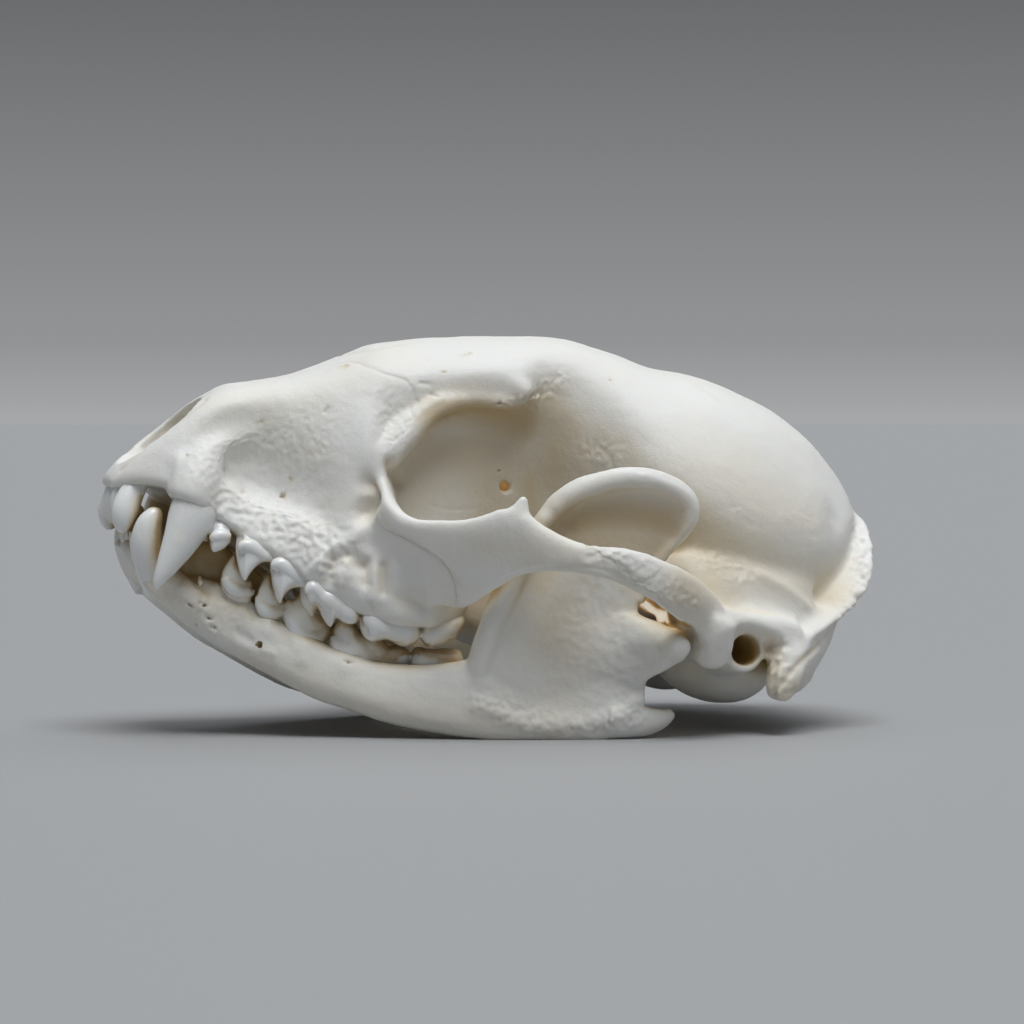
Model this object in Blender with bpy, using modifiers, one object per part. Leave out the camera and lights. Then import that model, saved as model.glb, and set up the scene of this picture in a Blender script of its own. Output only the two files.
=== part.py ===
"""Raccoon skull, life size, resting on its lower jaw with the teeth closed.

Frame: +Z up, nose towards -X, the skull's left side towards -Y, plane of symmetry Y = 0.
All sizes below are in millimetres and are scaled to metres where a mesh is made.
"""
import math

import bmesh
import bpy
from mathutils import Matrix, Vector

MM = 0.001

# Driving dimensions of the animal, in its resting pose
PITCH = math.radians(26)        # the palate slopes down towards the back of the head
ZYGOMATIC_HALF = 35.0           # half breadth over the cheek arches
BRAINCASE_HALF = 23.5           # half breadth of the braincase
MASTOID_HALF = 28.5             # half breadth behind the ears
JAW_HALF = 26.0                 # half breadth at the angles of the lower jaw
GAP = 0.3                       # clearance between neighbouring bones
BONE_VOXEL = 0.6                # grain at which the pieces of one bone grow together

# Triangles left on each bone before its teeth are joined
CRANIUM_TRIANGLES = 6600
JAW_TRIANGLES = 1600

# Direction of the tooth crowns: square to the palate
TOOTH_UP = Vector((math.sin(PITCH), 0.0, math.cos(PITCH)))
INCISOR_UP = Vector((math.sin(PITCH / 4), 0.0, math.cos(PITCH / 4)))
LOWER_UP = Vector((-math.sin(PITCH / 4), 0.0, math.cos(PITCH / 4)))


# Start from an empty file
for old in list(bpy.data.objects):
    bpy.data.objects.remove(old, do_unlink=True)

skull = bpy.data.collections.new("raccoon_skull")
bpy.context.scene.collection.children.link(skull)


# Curves and lofts

def hermite(before, start, end, after, t):
    """Point at t on the Catmull-Rom curve from start to end."""
    t2, t3 = t * t, t * t * t
    return 0.5 * ((2 * start) + (end - before) * t
                  + (2 * before - 5 * start + 4 * end - after) * t2
                  + (3 * start - before - 3 * end + after) * t3)


def through(points, steps, closed=False):
    """Smooth curve through points, each span cut in so many steps."""
    count = len(points)
    result = []
    spans = count if closed else count - 1
    for i in range(spans):
        if closed:
            keys = [points[(i + k) % count] for k in (-1, 0, 1, 2)]
        else:
            keys = [points[min(max(i + k, 0), count - 1)] for k in (-1, 0, 1, 2)]
        result += [hermite(*keys, s / steps) for s in range(steps)]
    if not closed:
        result.append(points[-1])
    return result


def loft(rings):
    """Closed mesh over a row of equal rings of points, with a fan on each end."""
    mesh = bmesh.new()
    rows = [[mesh.verts.new(p * MM) for p in ring] for ring in rings]
    sides = len(rings[0])
    for a, b in zip(rows, rows[1:]):
        for i in range(sides):
            j = (i + 1) % sides
            mesh.faces.new((a[i], a[j], b[j], b[i]))
    for row, flip in ((rows[0], True), (rows[-1], False)):
        centre = mesh.verts.new(sum((v.co for v in row), Vector()) / sides)
        for i in range(sides):
            j = (i + 1) % sides
            mesh.faces.new((row[j], row[i], centre) if flip else (row[i], row[j], centre))
    bmesh.ops.recalc_face_normals(mesh, faces=mesh.faces)
    if mesh.calc_volume(signed=True) < 0:
        bmesh.ops.reverse_faces(mesh, faces=mesh.faces)
    return mesh


def blade(stations, steps=4, sides=16, fullness=2.4):
    """Flattened bar. Each station is its upper edge, its lower edge and its thickness."""
    tops = through([Vector(s[0]) for s in stations], steps)
    bottoms = through([Vector(s[1]) for s in stations], steps)
    widths = through([Vector((s[2], 0, 0)) for s in stations], steps)
    centres = [(a + b) / 2 for a, b in zip(tops, bottoms)]
    rings = []
    for i, centre in enumerate(centres):
        ahead = centres[min(i + 1, len(centres) - 1)] - centres[max(i - 1, 0)]
        tall = (tops[i] - bottoms[i]) / 2
        wide = tall.cross(ahead).normalized() * widths[i].x / 2
        ring = []
        for k in range(sides):
            angle = math.tau * k / sides
            c, s = math.cos(angle), math.sin(angle)
            power = 2 / fullness
            ring.append(centre + tall * math.copysign(abs(c) ** power, c)
                        + wide * math.copysign(abs(s) ** power, s))
        rings.append(ring)
    return loft(rings)


def horn(path, radii, steps=3, sides=10, squash=1.0):
    """Round, tapered bar through a row of points; squash flattens it sideways."""
    points = through([Vector(p) for p in path], steps)
    sizes = through([Vector((r, 0, 0)) for r in radii], steps)
    rings = []
    for i, point in enumerate(points):
        ahead = (points[min(i + 1, len(points) - 1)] - points[max(i - 1, 0)]).normalized()
        across = Vector((0, 1, 0))
        if abs(ahead.y) > 0.9:
            across = Vector((1, 0, 0))
        across = (across - ahead * across.dot(ahead)).normalized()
        other = ahead.cross(across)
        radius = sizes[i].x
        rings.append([point + across * radius * squash * math.cos(math.tau * k / sides)
                      + other * radius * math.sin(math.tau * k / sides)
                      for k in range(sides)])
    return loft(rings)


def egg(centre, radii, pitch=0.0, yaw=0.0, segments=20):
    """Ellipsoid with its long axis turned by pitch (about Y) and yaw (about Z)."""
    mesh = bmesh.new()
    bmesh.ops.create_uvsphere(mesh, u_segments=segments, v_segments=segments // 2, radius=1.0)
    place = (Matrix.Translation(Vector(centre) * MM) @ Matrix.Rotation(yaw, 4, "Z")
             @ Matrix.Rotation(pitch, 4, "Y") @ Matrix.Diagonal((*[r * MM for r in radii], 1)))
    mesh.transform(place)
    return mesh


def mirrored(mesh):
    """The same piece on the other side of the head."""
    other = mesh.copy()
    other.transform(Matrix.Scale(-1, 4, Vector((0, 1, 0))))
    bmesh.ops.reverse_faces(other, faces=other.faces)
    return other


def to_object(name, mesh, collection=None):
    """Blender object from a bmesh."""
    data = bpy.data.meshes.new(name)
    mesh.to_mesh(data)
    mesh.free()
    made = bpy.data.objects.new(name, data)
    (collection or skull).objects.link(made)
    return made


def joined(name, meshes):
    """One object that holds several closed meshes, overlapping or not."""
    whole = bmesh.new()
    for mesh in meshes:
        data = bpy.data.meshes.new(name)
        mesh.to_mesh(data)
        mesh.free()
        whole.from_mesh(data)
        bpy.data.meshes.remove(data)
    return to_object(name, whole)


def with_modifier(target, kind, **settings):
    """Apply one modifier to an object."""
    modifier = target.modifiers.new(kind.lower(), kind)
    for key, value in settings.items():
        setattr(modifier, key, value)
    graph = bpy.context.evaluated_depsgraph_get()
    data = bpy.data.meshes.new_from_object(target.evaluated_get(graph))
    target.modifiers.clear()
    old = target.data
    target.data = data
    bpy.data.meshes.remove(old)
    return target


def cut(target, cutter, solver="EXACT"):
    """Take one object's volume out of another and remove it."""
    with_modifier(target, "BOOLEAN", operation="DIFFERENCE", object=cutter, solver=solver)
    bpy.data.objects.remove(cutter, do_unlink=True)
    return target


def grown(target, triangles, smoothing):
    """Fuse the overlapping pieces of one bone, soften them and thin the mesh."""
    with_modifier(target, "REMESH", mode="VOXEL", voxel_size=BONE_VOXEL * MM)
    with_modifier(target, "SMOOTH", factor=0.5, iterations=smoothing)
    with_modifier(target, "TRIANGULATE")
    ratio = triangles / len(target.data.polygons)
    with_modifier(target, "DECIMATE", ratio=min(1.0, ratio))
    return target


def bodies(target):
    """Closed surfaces of an object as separate bmeshes, the largest first."""
    mesh = bmesh.new()
    mesh.from_mesh(target.data)
    groups = []
    seen = set()
    for start in mesh.faces:
        if start in seen:
            continue
        group, queue = [], [start]
        seen.add(start)
        while queue:
            face = queue.pop()
            group.append(face)
            for edge in face.edges:
                for other in edge.link_faces:
                    if other not in seen:
                        seen.add(other)
                        queue.append(other)
        groups.append([f.index for f in group])
    parts = []
    for group in groups:
        part = bmesh.new()
        part.from_mesh(target.data)
        keep = set(group)
        bmesh.ops.delete(part, geom=[f for f in part.faces if f.index not in keep],
                         context="FACES")
        parts.append(part)
    mesh.free()
    parts.sort(key=lambda p: -p.calc_volume(signed=True))
    return parts


def cleaned(target):
    """Merge points closer than a hair and split every face into triangles."""
    mesh = bmesh.new()
    mesh.from_mesh(target.data)
    bmesh.ops.remove_doubles(mesh, verts=mesh.verts, dist=0.004 * MM)
    bmesh.ops.dissolve_degenerate(mesh, edges=mesh.edges, dist=0.002 * MM)
    bmesh.ops.triangulate(mesh, faces=mesh.faces)
    mesh.to_mesh(target.data)
    mesh.free()
    return target


def fused(target, pieces):
    """Join closed pieces to a bone in one union and keep its largest surface."""
    group = bpy.data.collections.new("pieces")
    for index, piece in enumerate(pieces):
        to_object(f"piece_{index}", piece, group)
    with_modifier(target, "BOOLEAN", operation="UNION", operand_type="COLLECTION",
                  collection=group, solver="EXACT")
    for piece in list(group.objects):
        bpy.data.objects.remove(piece, do_unlink=True)
    bpy.data.collections.remove(group)
    parts = bodies(target)
    parts[0].to_mesh(target.data)
    for part in parts:
        part.free()
    return cleaned(target)


# The vault: muzzle, forehead, braincase and floor in one loft of upright sections.
# Each section: place along the head, top of the midline, then the outline of its left half as
# (half breadth, height) at the brow, the upper side, the wall and the lower edge, then the
# bottom of the midline.
SECTIONS = (
    (-57.0, 35.3, (2.2, 35.2), (3.9, 34.8), (4.3, 34.2), (3.4, 33.4), 33.2),
    (-55.0, 37.2, (4.4, 37.0), (6.4, 35.9), (6.8, 34.8), (6.0, 33.4), 33.4),
    (-52.0, 39.7, (6.4, 39.3), (8.2, 37.4), (8.8, 35.2), (8.2, 33.4), 33.5),
    (-48.0, 42.9, (7.3, 42.5), (9.6, 40.0), (10.9, 36.0), (10.8, 32.6), 32.8),
    (-44.0, 46.0, (7.6, 45.5), (10.0, 42.0), (11.2, 36.5), (11.6, 30.6), 31.0),
    (-40.0, 48.4, (7.4, 47.2), (10.0, 44.0), (11.1, 36.5), (12.4, 28.4), 29.2),
    (-36.0, 49.0, (7.4, 47.7), (10.2, 44.0), (11.6, 36.0), (13.0, 26.0), 27.4),
    (-31.0, 49.8, (8.0, 48.4), (11.3, 44.6), (13.2, 36.0), (14.8, 23.0), 25.0),
    (-26.0, 51.5, (9.2, 49.7), (13.2, 45.0), (16.0, 36.5), (17.0, 20.0), 22.6),
    (-21.5, 53.2, (10.4, 51.0), (14.4, 46.0), (16.8, 37.5), (17.0, 20.0), 20.4),
    (-18.5, 54.3, (11.0, 51.5), (14.0, 45.6), (12.0, 37.0), (10.5, 22.0), 19.0),
    (-12.0, 55.1, (11.2, 51.6), (13.4, 46.6), (10.2, 38.0), (9.5, 20.0), 16.6),
    (-6.0, 55.4, (11.2, 52.1), (13.8, 47.6), (9.8, 37.0), (8.6, 18.0), 14.2),
    (0.0, 55.5, (10.8, 52.6), (14.0, 47.8), (10.0, 37.0), (7.8, 17.5), 13.0),
    (4.5, 55.6, (9.8, 53.0), (12.2, 47.2), (11.0, 36.0), (7.6, 18.5), 14.5),
    (10.0, 55.0, (10.2, 51.8), (13.8, 44.5), (14.2, 34.0), (8.6, 20.0), 17.2),
    (16.0, 53.3, (11.6, 49.7), (17.8, 42.0), (19.2, 32.0), (11.6, 18.4), 17.0),
    (22.0, 51.0, (12.8, 47.6), (20.6, 39.0), (22.6, 29.5), (15.0, 16.6), 16.0),
    (28.0, 50.0, (13.2, 46.7), (21.6, 37.0), (BRAINCASE_HALF, 27.5), (17.0, 15.0), 14.5),
    (34.0, 47.9, (12.8, 44.7), (21.2, 35.0), (BRAINCASE_HALF - 0.1, 25.8), (17.4, 13.4), 12.6),
    (40.0, 44.9, (11.2, 42.0), (19.0, 33.4), (21.4, 24.8), (16.0, 13.0), 10.8),
    (45.0, 40.9, (9.0, 38.8), (15.4, 32.2), (17.8, 25.6), (12.8, 17.4), 14.4),
    (49.0, 36.1, (6.4, 35.0), (10.8, 31.6), (12.6, 28.2), (9.0, 24.4), 22.8),
    (51.6, 32.0, (2.8, 31.7), (4.6, 30.9), (5.4, 29.4), (4.0, 28.0), 27.4),
)


def vault():
    """Muzzle, forehead and braincase."""
    rows = []
    for place, top, brow, upper, wall, lower, bottom in SECTIONS:
        half = [brow, upper, wall, lower]
        ring = [(0.0, top)] + half + [(0.0, bottom)] + [(-w, h) for w, h in reversed(half)]
        rows.append([Vector((place, -w, h)) for w, h in ring])
    columns = [through(list(column), 3) for column in zip(*rows)]
    rings = [through(list(ring), 4, closed=True) for ring in zip(*columns)]
    return loft(rings)


def tooth_bed():
    """Ridge of the upper jaw that holds the cheek teeth, left side."""
    rows = (  # along the head, margin height, middle of the ridge, its breadth, its height
        (-49.0, 32.8, -9.6, 5.0, 6.0),
        (-45.5, 30.6, -10.4, 5.6, 7.4),
        (-42.0, 28.0, -11.2, 5.0, 7.4),
        (-38.0, 25.8, -12.0, 5.0, 7.4),
        (-33.5, 23.0, -13.0, 6.6, 8.4),
        (-27.0, 18.8, -14.2, 9.4, 9.4),
        (-20.0, 15.3, -15.4, 10.4, 9.4),
        (-14.0, 14.8, -15.8, 9.8, 9.0),
        (-9.6, 16.0, -15.4, 7.0, 7.4),
    )
    return blade([((x + 0.3 * tall, y + 0.6, z + tall), (x, y, z), broad)
                  for x, z, y, broad, tall in rows], fullness=3.2)


def canine_bulge():
    """Swelling of the muzzle over the long root of the upper canine, left side."""
    return horn(((-34.0, -8.6, 43.0), (-40.0, -9.6, 40.4), (-43.6, -10.6, 36.8),
                 (-45.5, -11.3, 33.6), (-46.4, -11.7, 31.9)), (1.6, 2.8, 3.6, 3.9, 3.6), squash=0.86)


def cheek_arch():
    """Cheek arch from the upper jaw round to the braincase, left side."""
    out = ZYGOMATIC_HALF
    return blade((
        ((-21.0, -11.0, 41.0), (-20.0, -13.5, 22.0), 6.0),
        ((-21.6, -17.5, 36.6), (-18.6, -18.5, 20.5), 4.2),
        ((-19.6, -23.6, 31.2), (-13.5, -21.4, 18.4), 3.4),
        ((-15.0, -27.6, 30.2), (-9.9, -23.2, 18.0), 3.2),
        ((-10.8, -30.2, 30.6), (-7.5, -27.2, 20.3), 3.0),
        ((-5.8, -32.4, 32.0), (-4.2, -30.6, 22.6), 2.8),
        ((-1.5, -33.6, 29.2), (-0.5, -32.9, 23.2), 2.8),
        ((3.8, 0.3 - out, 27.0), (4.0, 0.8 - out, 22.7), 2.8),
        ((9.0, 0.0 - out, 26.2), (8.5, 0.4 - out, 21.4), 2.8),
        ((14.9, 0.2 - out, 24.0), (13.6, 0.4 - out, 18.6), 3.0),
        ((19.3, 1.4 - out, 21.6), (16.6, 2.0 - out, 16.6), 3.4),
        ((22.6, -31.4, 19.0), (18.8, -30.6, 14.6), 4.6),
        ((24.6, -26.6, 18.0), (20.0, -26.0, 13.6), 6.0),
        ((25.0, -20.0, 19.0), (20.0, -19.0, 14.0), 8.0),
    ))


def cheek_spur():
    """Small peak of the cheek bone behind the eye, left side."""
    return horn(((-5.6, -31.9, 29.0), (-5.4, -32.2, 31.6), (-5.0, -32.4, 33.8)),
                (2.2, 1.3, 0.5), squash=0.6)


def eye_rim():
    """Rounded front and upper border of the eye socket, left side."""
    return horn(((-22.2, -16.0, 34.0), (-21.2, -15.6, 38.0), (-19.4, -14.8, 41.2),
                 (-16.8, -13.8, 44.6), (-12.4, -12.9, 47.6), (-6.6, -12.7, 48.4),
                 (-2.2, -13.0, 47.4), (0.6, -14.0, 48.2)),
                (1.5, 1.8, 1.9, 1.9, 1.6, 1.4, 1.5, 1.2))


def brow_process():
    """Blunt point of the brow behind the eye, left side."""
    return horn(((-3.0, -9.0, 49.5), (-0.6, -12.5, 49.2), (1.3, -14.9, 48.4)), (3.2, 2.4, 1.0))


def jaw_socket():
    """Ledge over and behind the joint of the lower jaw, left side."""
    return blade((
        ((23.0, -17.0, 19.5), (20.8, -17.0, 9.8), 5.0),
        ((22.8, -24.0, 18.0), (21.6, -24.0, 10.2), 4.0),
        ((22.6, -29.0, 17.5), (21.6, -29.4, 9.8), 3.4),
        ((21.0, -33.2, 17.2), (20.4, -32.8, 12.6), 2.4),
    ), sides=12)


def ear_bulb():
    """Ear bulb under the braincase, left side."""
    return egg((27.5, -13.4, 10.4), (9.2, 6.6, 6.6), pitch=math.radians(20),
               yaw=math.radians(-12))


def ear_tube():
    """Bony tube that leads to the ear opening, left side."""
    return horn(((27.0, -15.0, 11.4), (27.8, -21.0, 11.8), (28.4, -27.2, 11.8)),
                (4.6, 3.8, 3.0), sides=16)


def ear_shelf():
    """Ridge that runs back over the ear opening from the cheek arch, left side."""
    return horn(((20.5, -31.0, 17.0), (24.0, -28.8, 16.4), (28.2, -27.2, 16.0), (32.0, -26.4, 15.2),
                 (36.0, -25.2, 14.0)), (2.0, 1.8, 1.5, 1.7, 2.4))


def ear_wall():
    """Side wall of the head from the braincase down to the ear, left side."""
    return blade((
        ((15.5, -17.6, 25.4), (17.0, -20.6, 18.6), 3.0),
        ((19.5, -20.8, 25.0), (20.5, -27.6, 15.8), 4.2),
        ((25.0, -21.2, 25.6), (25.0, -26.2, 14.0), 3.8),
        ((30.5, -21.0, 25.4), (31.0, -25.4, 12.4), 3.8),
        ((36.0, -19.8, 24.6), (35.6, -24.6, 11.4), 4.0),
        ((40.5, -17.6, 23.0), (39.0, -23.0, 10.4), 4.2),
    ), fullness=2.2)


def mastoid():
    """Process behind the ear opening, left side."""
    half = MASTOID_HALF
    return horn(((36.5, 8.0 - half, 15.0), (35.4, 3.4 - half, 11.6), (34.0, 1.4 - half, 8.0),
                 (32.8, 0.8 - half, 5.0)), (3.4, 3.0, 2.5, 1.7))


def rear_process():
    """Short process beside the neck joint, left side."""
    return horn(((41.0, -18.0, 14.0), (38.6, -19.5, 9.0), (37.4, -19.8, 5.6)), (3.4, 2.4, 1.2))


def neck_joint():
    """Knuckle on which the head turns on the neck, left side."""
    return egg((41.6, -8.4, 9.0), (5.2, 3.4, 4.6), pitch=math.radians(-60),
               yaw=math.radians(24))


def neck_crest():
    """Flange along the back of the braincase, from the midline to behind the ear."""
    edge = ((53.4, 0.0, 29.6), (52.9, -5.0, 29.6), (52.7, -9.5, 28.4), (52.0, -14.0, 25.2),
            (50.2, -18.0, 20.8), (46.0, -21.4, 17.0), (41.7, -24.4, 14.6), (37.6, -27.2, 12.8),
            (34.6, 0.2 - MASTOID_HALF, 10.0))
    root = Vector((30.0, 0.0, 26.0))
    stations = []
    for point in edge:
        outer = Vector(point)
        inner = outer + (root - outer).normalized() * 9.0
        stations.append((outer, inner, 2.4))
    left = stations[1:]
    right = [(Vector((a.x, -a.y, a.z)), Vector((b.x, -b.y, b.z)), t) for a, b, t in left]
    return blade(list(reversed(right)) + stations, sides=10, fullness=2.0)


def occiput():
    """Rear wall of the head, from behind one ear to behind the other."""
    left = (
        ((51.0, 0.0, 27.0), (42.6, 0.0, 11.0), 6.0),
        ((50.4, -7.0, 26.0), (42.4, -7.0, 9.4), 6.0),
        ((47.8, -14.0, 21.6), (40.6, -13.6, 8.6), 6.0),
        ((43.6, -20.0, 16.6), (38.4, -18.6, 8.0), 5.4),
        ((38.4, -25.0, 13.0), (35.6, -23.4, 7.6), 4.6),
        ((35.6, 0.9 - MASTOID_HALF, 11.0), (34.4, 2.5 - MASTOID_HALF, 7.4), 3.6),
    )
    right = [((a[0], -a[1], a[2]), (b[0], -b[1], b[2]), t) for a, b, t in left[1:]]
    return blade(list(reversed(right)) + list(left), sides=14, fullness=3.0)


def palate_shelf():
    """Bony palate behind the last molars."""
    return blade((
        ((-18.0, -9.5, 20.0), (-18.0, 9.5, 20.0), 5.0),
        ((-10.0, -8.6, 16.4), (-10.0, 8.6, 16.4), 4.4),
        ((-3.0, -7.6, 12.8), (-3.0, 7.6, 12.8), 3.4),
        ((3.6, -7.0, 10.4), (3.6, 7.0, 10.4), 2.6),
    ), sides=12, fullness=3.0)


def wing_bone():
    """Upright plate that runs back from the palate to a small hook, left side."""
    return blade((
        ((-8.0, -8.0, 22.0), (-8.0, -8.0, 15.0), 3.0),
        ((0.0, -7.6, 20.0), (0.0, -7.4, 11.6), 2.4),
        ((6.0, -7.4, 20.0), (6.0, -6.8, 9.2), 2.0),
        ((11.0, -7.4, 18.5), (11.4, -6.4, 7.4), 1.8),
        ((14.0, -8.0, 18.0), (13.0, -6.4, 8.6), 1.6),
    ), sides=12)


def bone_floor():
    """Flat bone between the two ear bulbs."""
    return blade((
        ((6.0, -6.0, 19.0), (6.0, 6.0, 19.0), 5.0),
        ((16.0, -7.5, 16.8), (16.0, 7.5, 16.8), 5.0),
        ((28.0, -8.0, 13.4), (28.0, 8.0, 13.4), 5.0),
        ((38.0, -9.0, 10.4), (38.0, 9.0, 10.4), 4.0),
    ), sides=12, fullness=3.0)


# Hollows of the upper skull

def nose_hollow():
    """Nasal opening and the passage behind it."""
    return blade((
        ((-61.0, 0.0, 54.0), (-61.0, 0.0, 40.5), 12.4),
        ((-50.0, 0.0, 49.4), (-50.0, 0.0, 35.8), 13.0),
        ((-42.6, 0.0, 46.4), (-42.6, 0.0, 33.4), 12.6),
        ((-36.0, 0.0, 45.2), (-36.0, 0.0, 31.4), 10.6),
        ((-29.0, 0.0, 43.0), (-29.0, 0.0, 33.0), 7.0),
    ), sides=20, fullness=2.2)


def neck_hollow():
    """Opening for the spinal cord."""
    return horn(((54.0, 0.0, 13.0), (46.0, 0.0, 13.6), (36.0, 0.0, 17.0), (30.0, 0.0, 20.0)),
                (5.6, 5.6, 6.4, 3.0), sides=20, squash=1.2)


def throat_hollow():
    """Rear end of the nasal passage, above the palate."""
    return horn(((14.0, 0.0, 11.0), (6.0, 0.0, 14.0), (-4.0, 0.0, 18.0)), (4.2, 4.0, 2.6), sides=16,
                squash=1.1)


def ear_hollow():
    """Ear canal, left side."""
    return horn(((28.8, -31.0, 11.9), (28.4, -26.0, 11.9), (27.6, -19.0, 11.6)), (2.2, 2.15, 1.2),
                sides=16)


def joint_hollow():
    """Trough in which the knuckle of the lower jaw turns, left side."""
    return horn(((17.2, -36.0, 13.4), (17.2, -29.0, 13.2), (17.4, -16.5, 12.6)), (3.1, 3.4, 3.0),
                sides=16)


# The lower jaw, left half. Each row: place along the head, upper margin, lower margin, middle of
# the bone at the upper and the lower margin, thickness.
JAW_ROWS = (
    (-53.2, 27.0, 26.0, -1.6, -1.0, 4.4),
    (-51.8, 26.0, 24.0, -3.0, -2.0, 8.2),
    (-49.0, 23.2, 20.6, -4.2, -3.0, 10.6),
    (-45.5, 21.2, 16.9, -5.0, -4.0, 11.2),
    (-40.5, 19.8, 13.3, -6.2, -5.6, 10.8),
    (-35.0, 16.6, 9.3, -9.4, -9.2, 8.2),
    (-29.5, 13.4, 6.2, -12.4, -12.8, 7.0),
    (-23.5, 10.8, 4.0, -14.4, -15.4, 6.8),
    (-17.5, 9.9, 2.1, -16.4, -18.0, 6.4),
    (-11.5, 10.4, 0.9, -18.8, -20.4, 5.8),
    (-6.0, 12.0, 0.3, -21.6, -22.8, 4.6),
    (1.0, 12.0, -0.3, -23.8, -24.6, 3.8),
    (8.0, 10.0, -0.5, 0.6 - JAW_HALF, 0.2 - JAW_HALF, 3.4),
    (13.5, 8.0, 0.5, -JAW_HALF, -JAW_HALF - 0.2, 2.8),
)


def jaw_body():
    """Tooth-bearing bar of the lower jaw."""
    return blade([((x + 1.0, high_y, high), (x - 1.0, low_y, low), thick)
                  for x, high, low, high_y, low_y, thick in JAW_ROWS], fullness=2.8)


def jaw_branch():
    """Rising branch of the lower jaw with its tall rear lobe."""
    return blade((
        ((-8.6, -21.4, 13.4), (-5.0, -22.4, 2.0), 3.6),
        ((-5.6, -23.6, 18.4), (1.0, -24.6, 2.0), 3.4),
        ((-3.0, -25.2, 24.4), (8.4, -25.8, 5.0), 3.0),
        ((0.8, -26.4, 30.8), (12.8, -26.2, 13.0), 2.5),
        ((6.6, -27.2, 35.4), (13.6, -26.4, 19.6), 2.0),
        ((13.0, -27.8, 36.4), (15.6, -27.0, 25.0), 1.8),
        ((18.2, -28.2, 35.0), (18.4, -27.6, 28.0), 1.7),
        ((20.6, -28.3, 32.8), (20.0, -28.0, 30.6), 1.4),
    ), sides=14)


def jaw_front_ridge():
    """Thick front border of the rising branch, which goes on round its lobe."""
    return horn(((-9.0, -20.6, 5.0), (-7.4, -22.0, 11.0), (-5.6, -23.8, 17.4),
                 (-3.4, -25.2, 23.0), (-1.0, -26.2, 28.0), (3.0, -27.3, 32.8),
                 (8.6, -28.0, 35.4), (14.4, -28.5, 35.6), (18.6, -28.6, 33.8), (20.2, -28.5, 31.4),
                 (19.2, -28.2, 28.6), (16.6, -27.8, 25.6)),
                (1.6, 2.2, 2.2, 1.9, 1.7, 1.5, 1.25, 1.15, 1.1, 1.0, 0.9, 0.7))


def jaw_neck():
    """Stem that carries the knuckle."""
    return blade((
        ((6.0, -25.8, 18.0), (6.0, -25.6, 6.6), 3.0),
        ((10.6, -26.6, 18.0), (11.2, -JAW_HALF, 6.2), 3.4),
        ((14.4, -27.2, 16.6), (14.4, -26.8, 8.0), 4.2),
        ((17.4, -27.6, 15.3), (17.2, -27.4, 9.6), 4.8),
        ((19.4, -27.6, 14.2), (19.2, -27.4, 11.2), 4.2),
    ), sides=12)


def jaw_knuckle():
    """Crosswise knuckle of the jaw joint."""
    return horn(((17.8, -17.8, 12.2), (17.8, -20.5, 12.4), (17.6, -26.0, 12.6),
                 (17.6, -30.0, 12.9), (17.6, -32.0, 13.0)), (1.3, 2.3, 2.6, 2.1, 1.1), sides=14)


def jaw_hook():
    """Hook at the rear angle of the jaw."""
    return horn(((9.0, -JAW_HALF, 2.6), (13.6, -JAW_HALF - 0.2, 2.3), (16.8, -JAW_HALF, 2.6),
                 (18.4, 0.6 - JAW_HALF, 3.4)),
                (2.8, 2.2, 1.4, 0.8), squash=0.8)


# Teeth. Crown sizes are length along the row, breadth across it and height.

def crown(place, size, up, cusps, sunk=2.2, sides=8):
    """Cheek tooth: a waisted block with its cusps, standing at place along up."""
    length, breadth, height = size
    up = up.normalized()
    across = Vector((0, 1, 0))
    along = across.cross(up).normalized()
    if along.x > 0:
        along.negate()
    base = Vector(place)

    def ring(level, scale):
        points = []
        for k in range(sides):
            angle = math.tau * (k + 0.5) / sides
            c, s = math.cos(angle), math.sin(angle)
            points.append(base + up * level
                          + along * length / 2 * scale * math.copysign(abs(c) ** 0.75, c)
                          + across * breadth / 2 * scale * math.copysign(abs(s) ** 0.75, s))
        return points

    pieces = [loft([ring(-sunk, 0.74), ring(height * 0.3, 1.0), ring(height * 0.62, 0.84)])]
    for forward, side, radius, tall in cusps:
        foot = base + along * forward * length + across * side * breadth
        pieces.append(horn((foot + up * height * 0.2, foot + up * height * tall),
                           (radius, radius * 0.3), steps=1, sides=5))
    return pieces


def fang(path, radii, squash):
    """Canine tooth."""
    return [horn(path, radii, steps=1, sides=8, squash=squash)]


def peg(place, size, up):
    """Incisor: a small chisel."""
    length, breadth, height = size
    base = Vector(place)
    up = up.normalized()
    return [horn((base - up * 1.8, base + up * height * 0.4, base + up * height),
                 (length * 0.36, length * 0.5, length * 0.22), steps=1, sides=7,
                 squash=breadth / length)]


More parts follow.
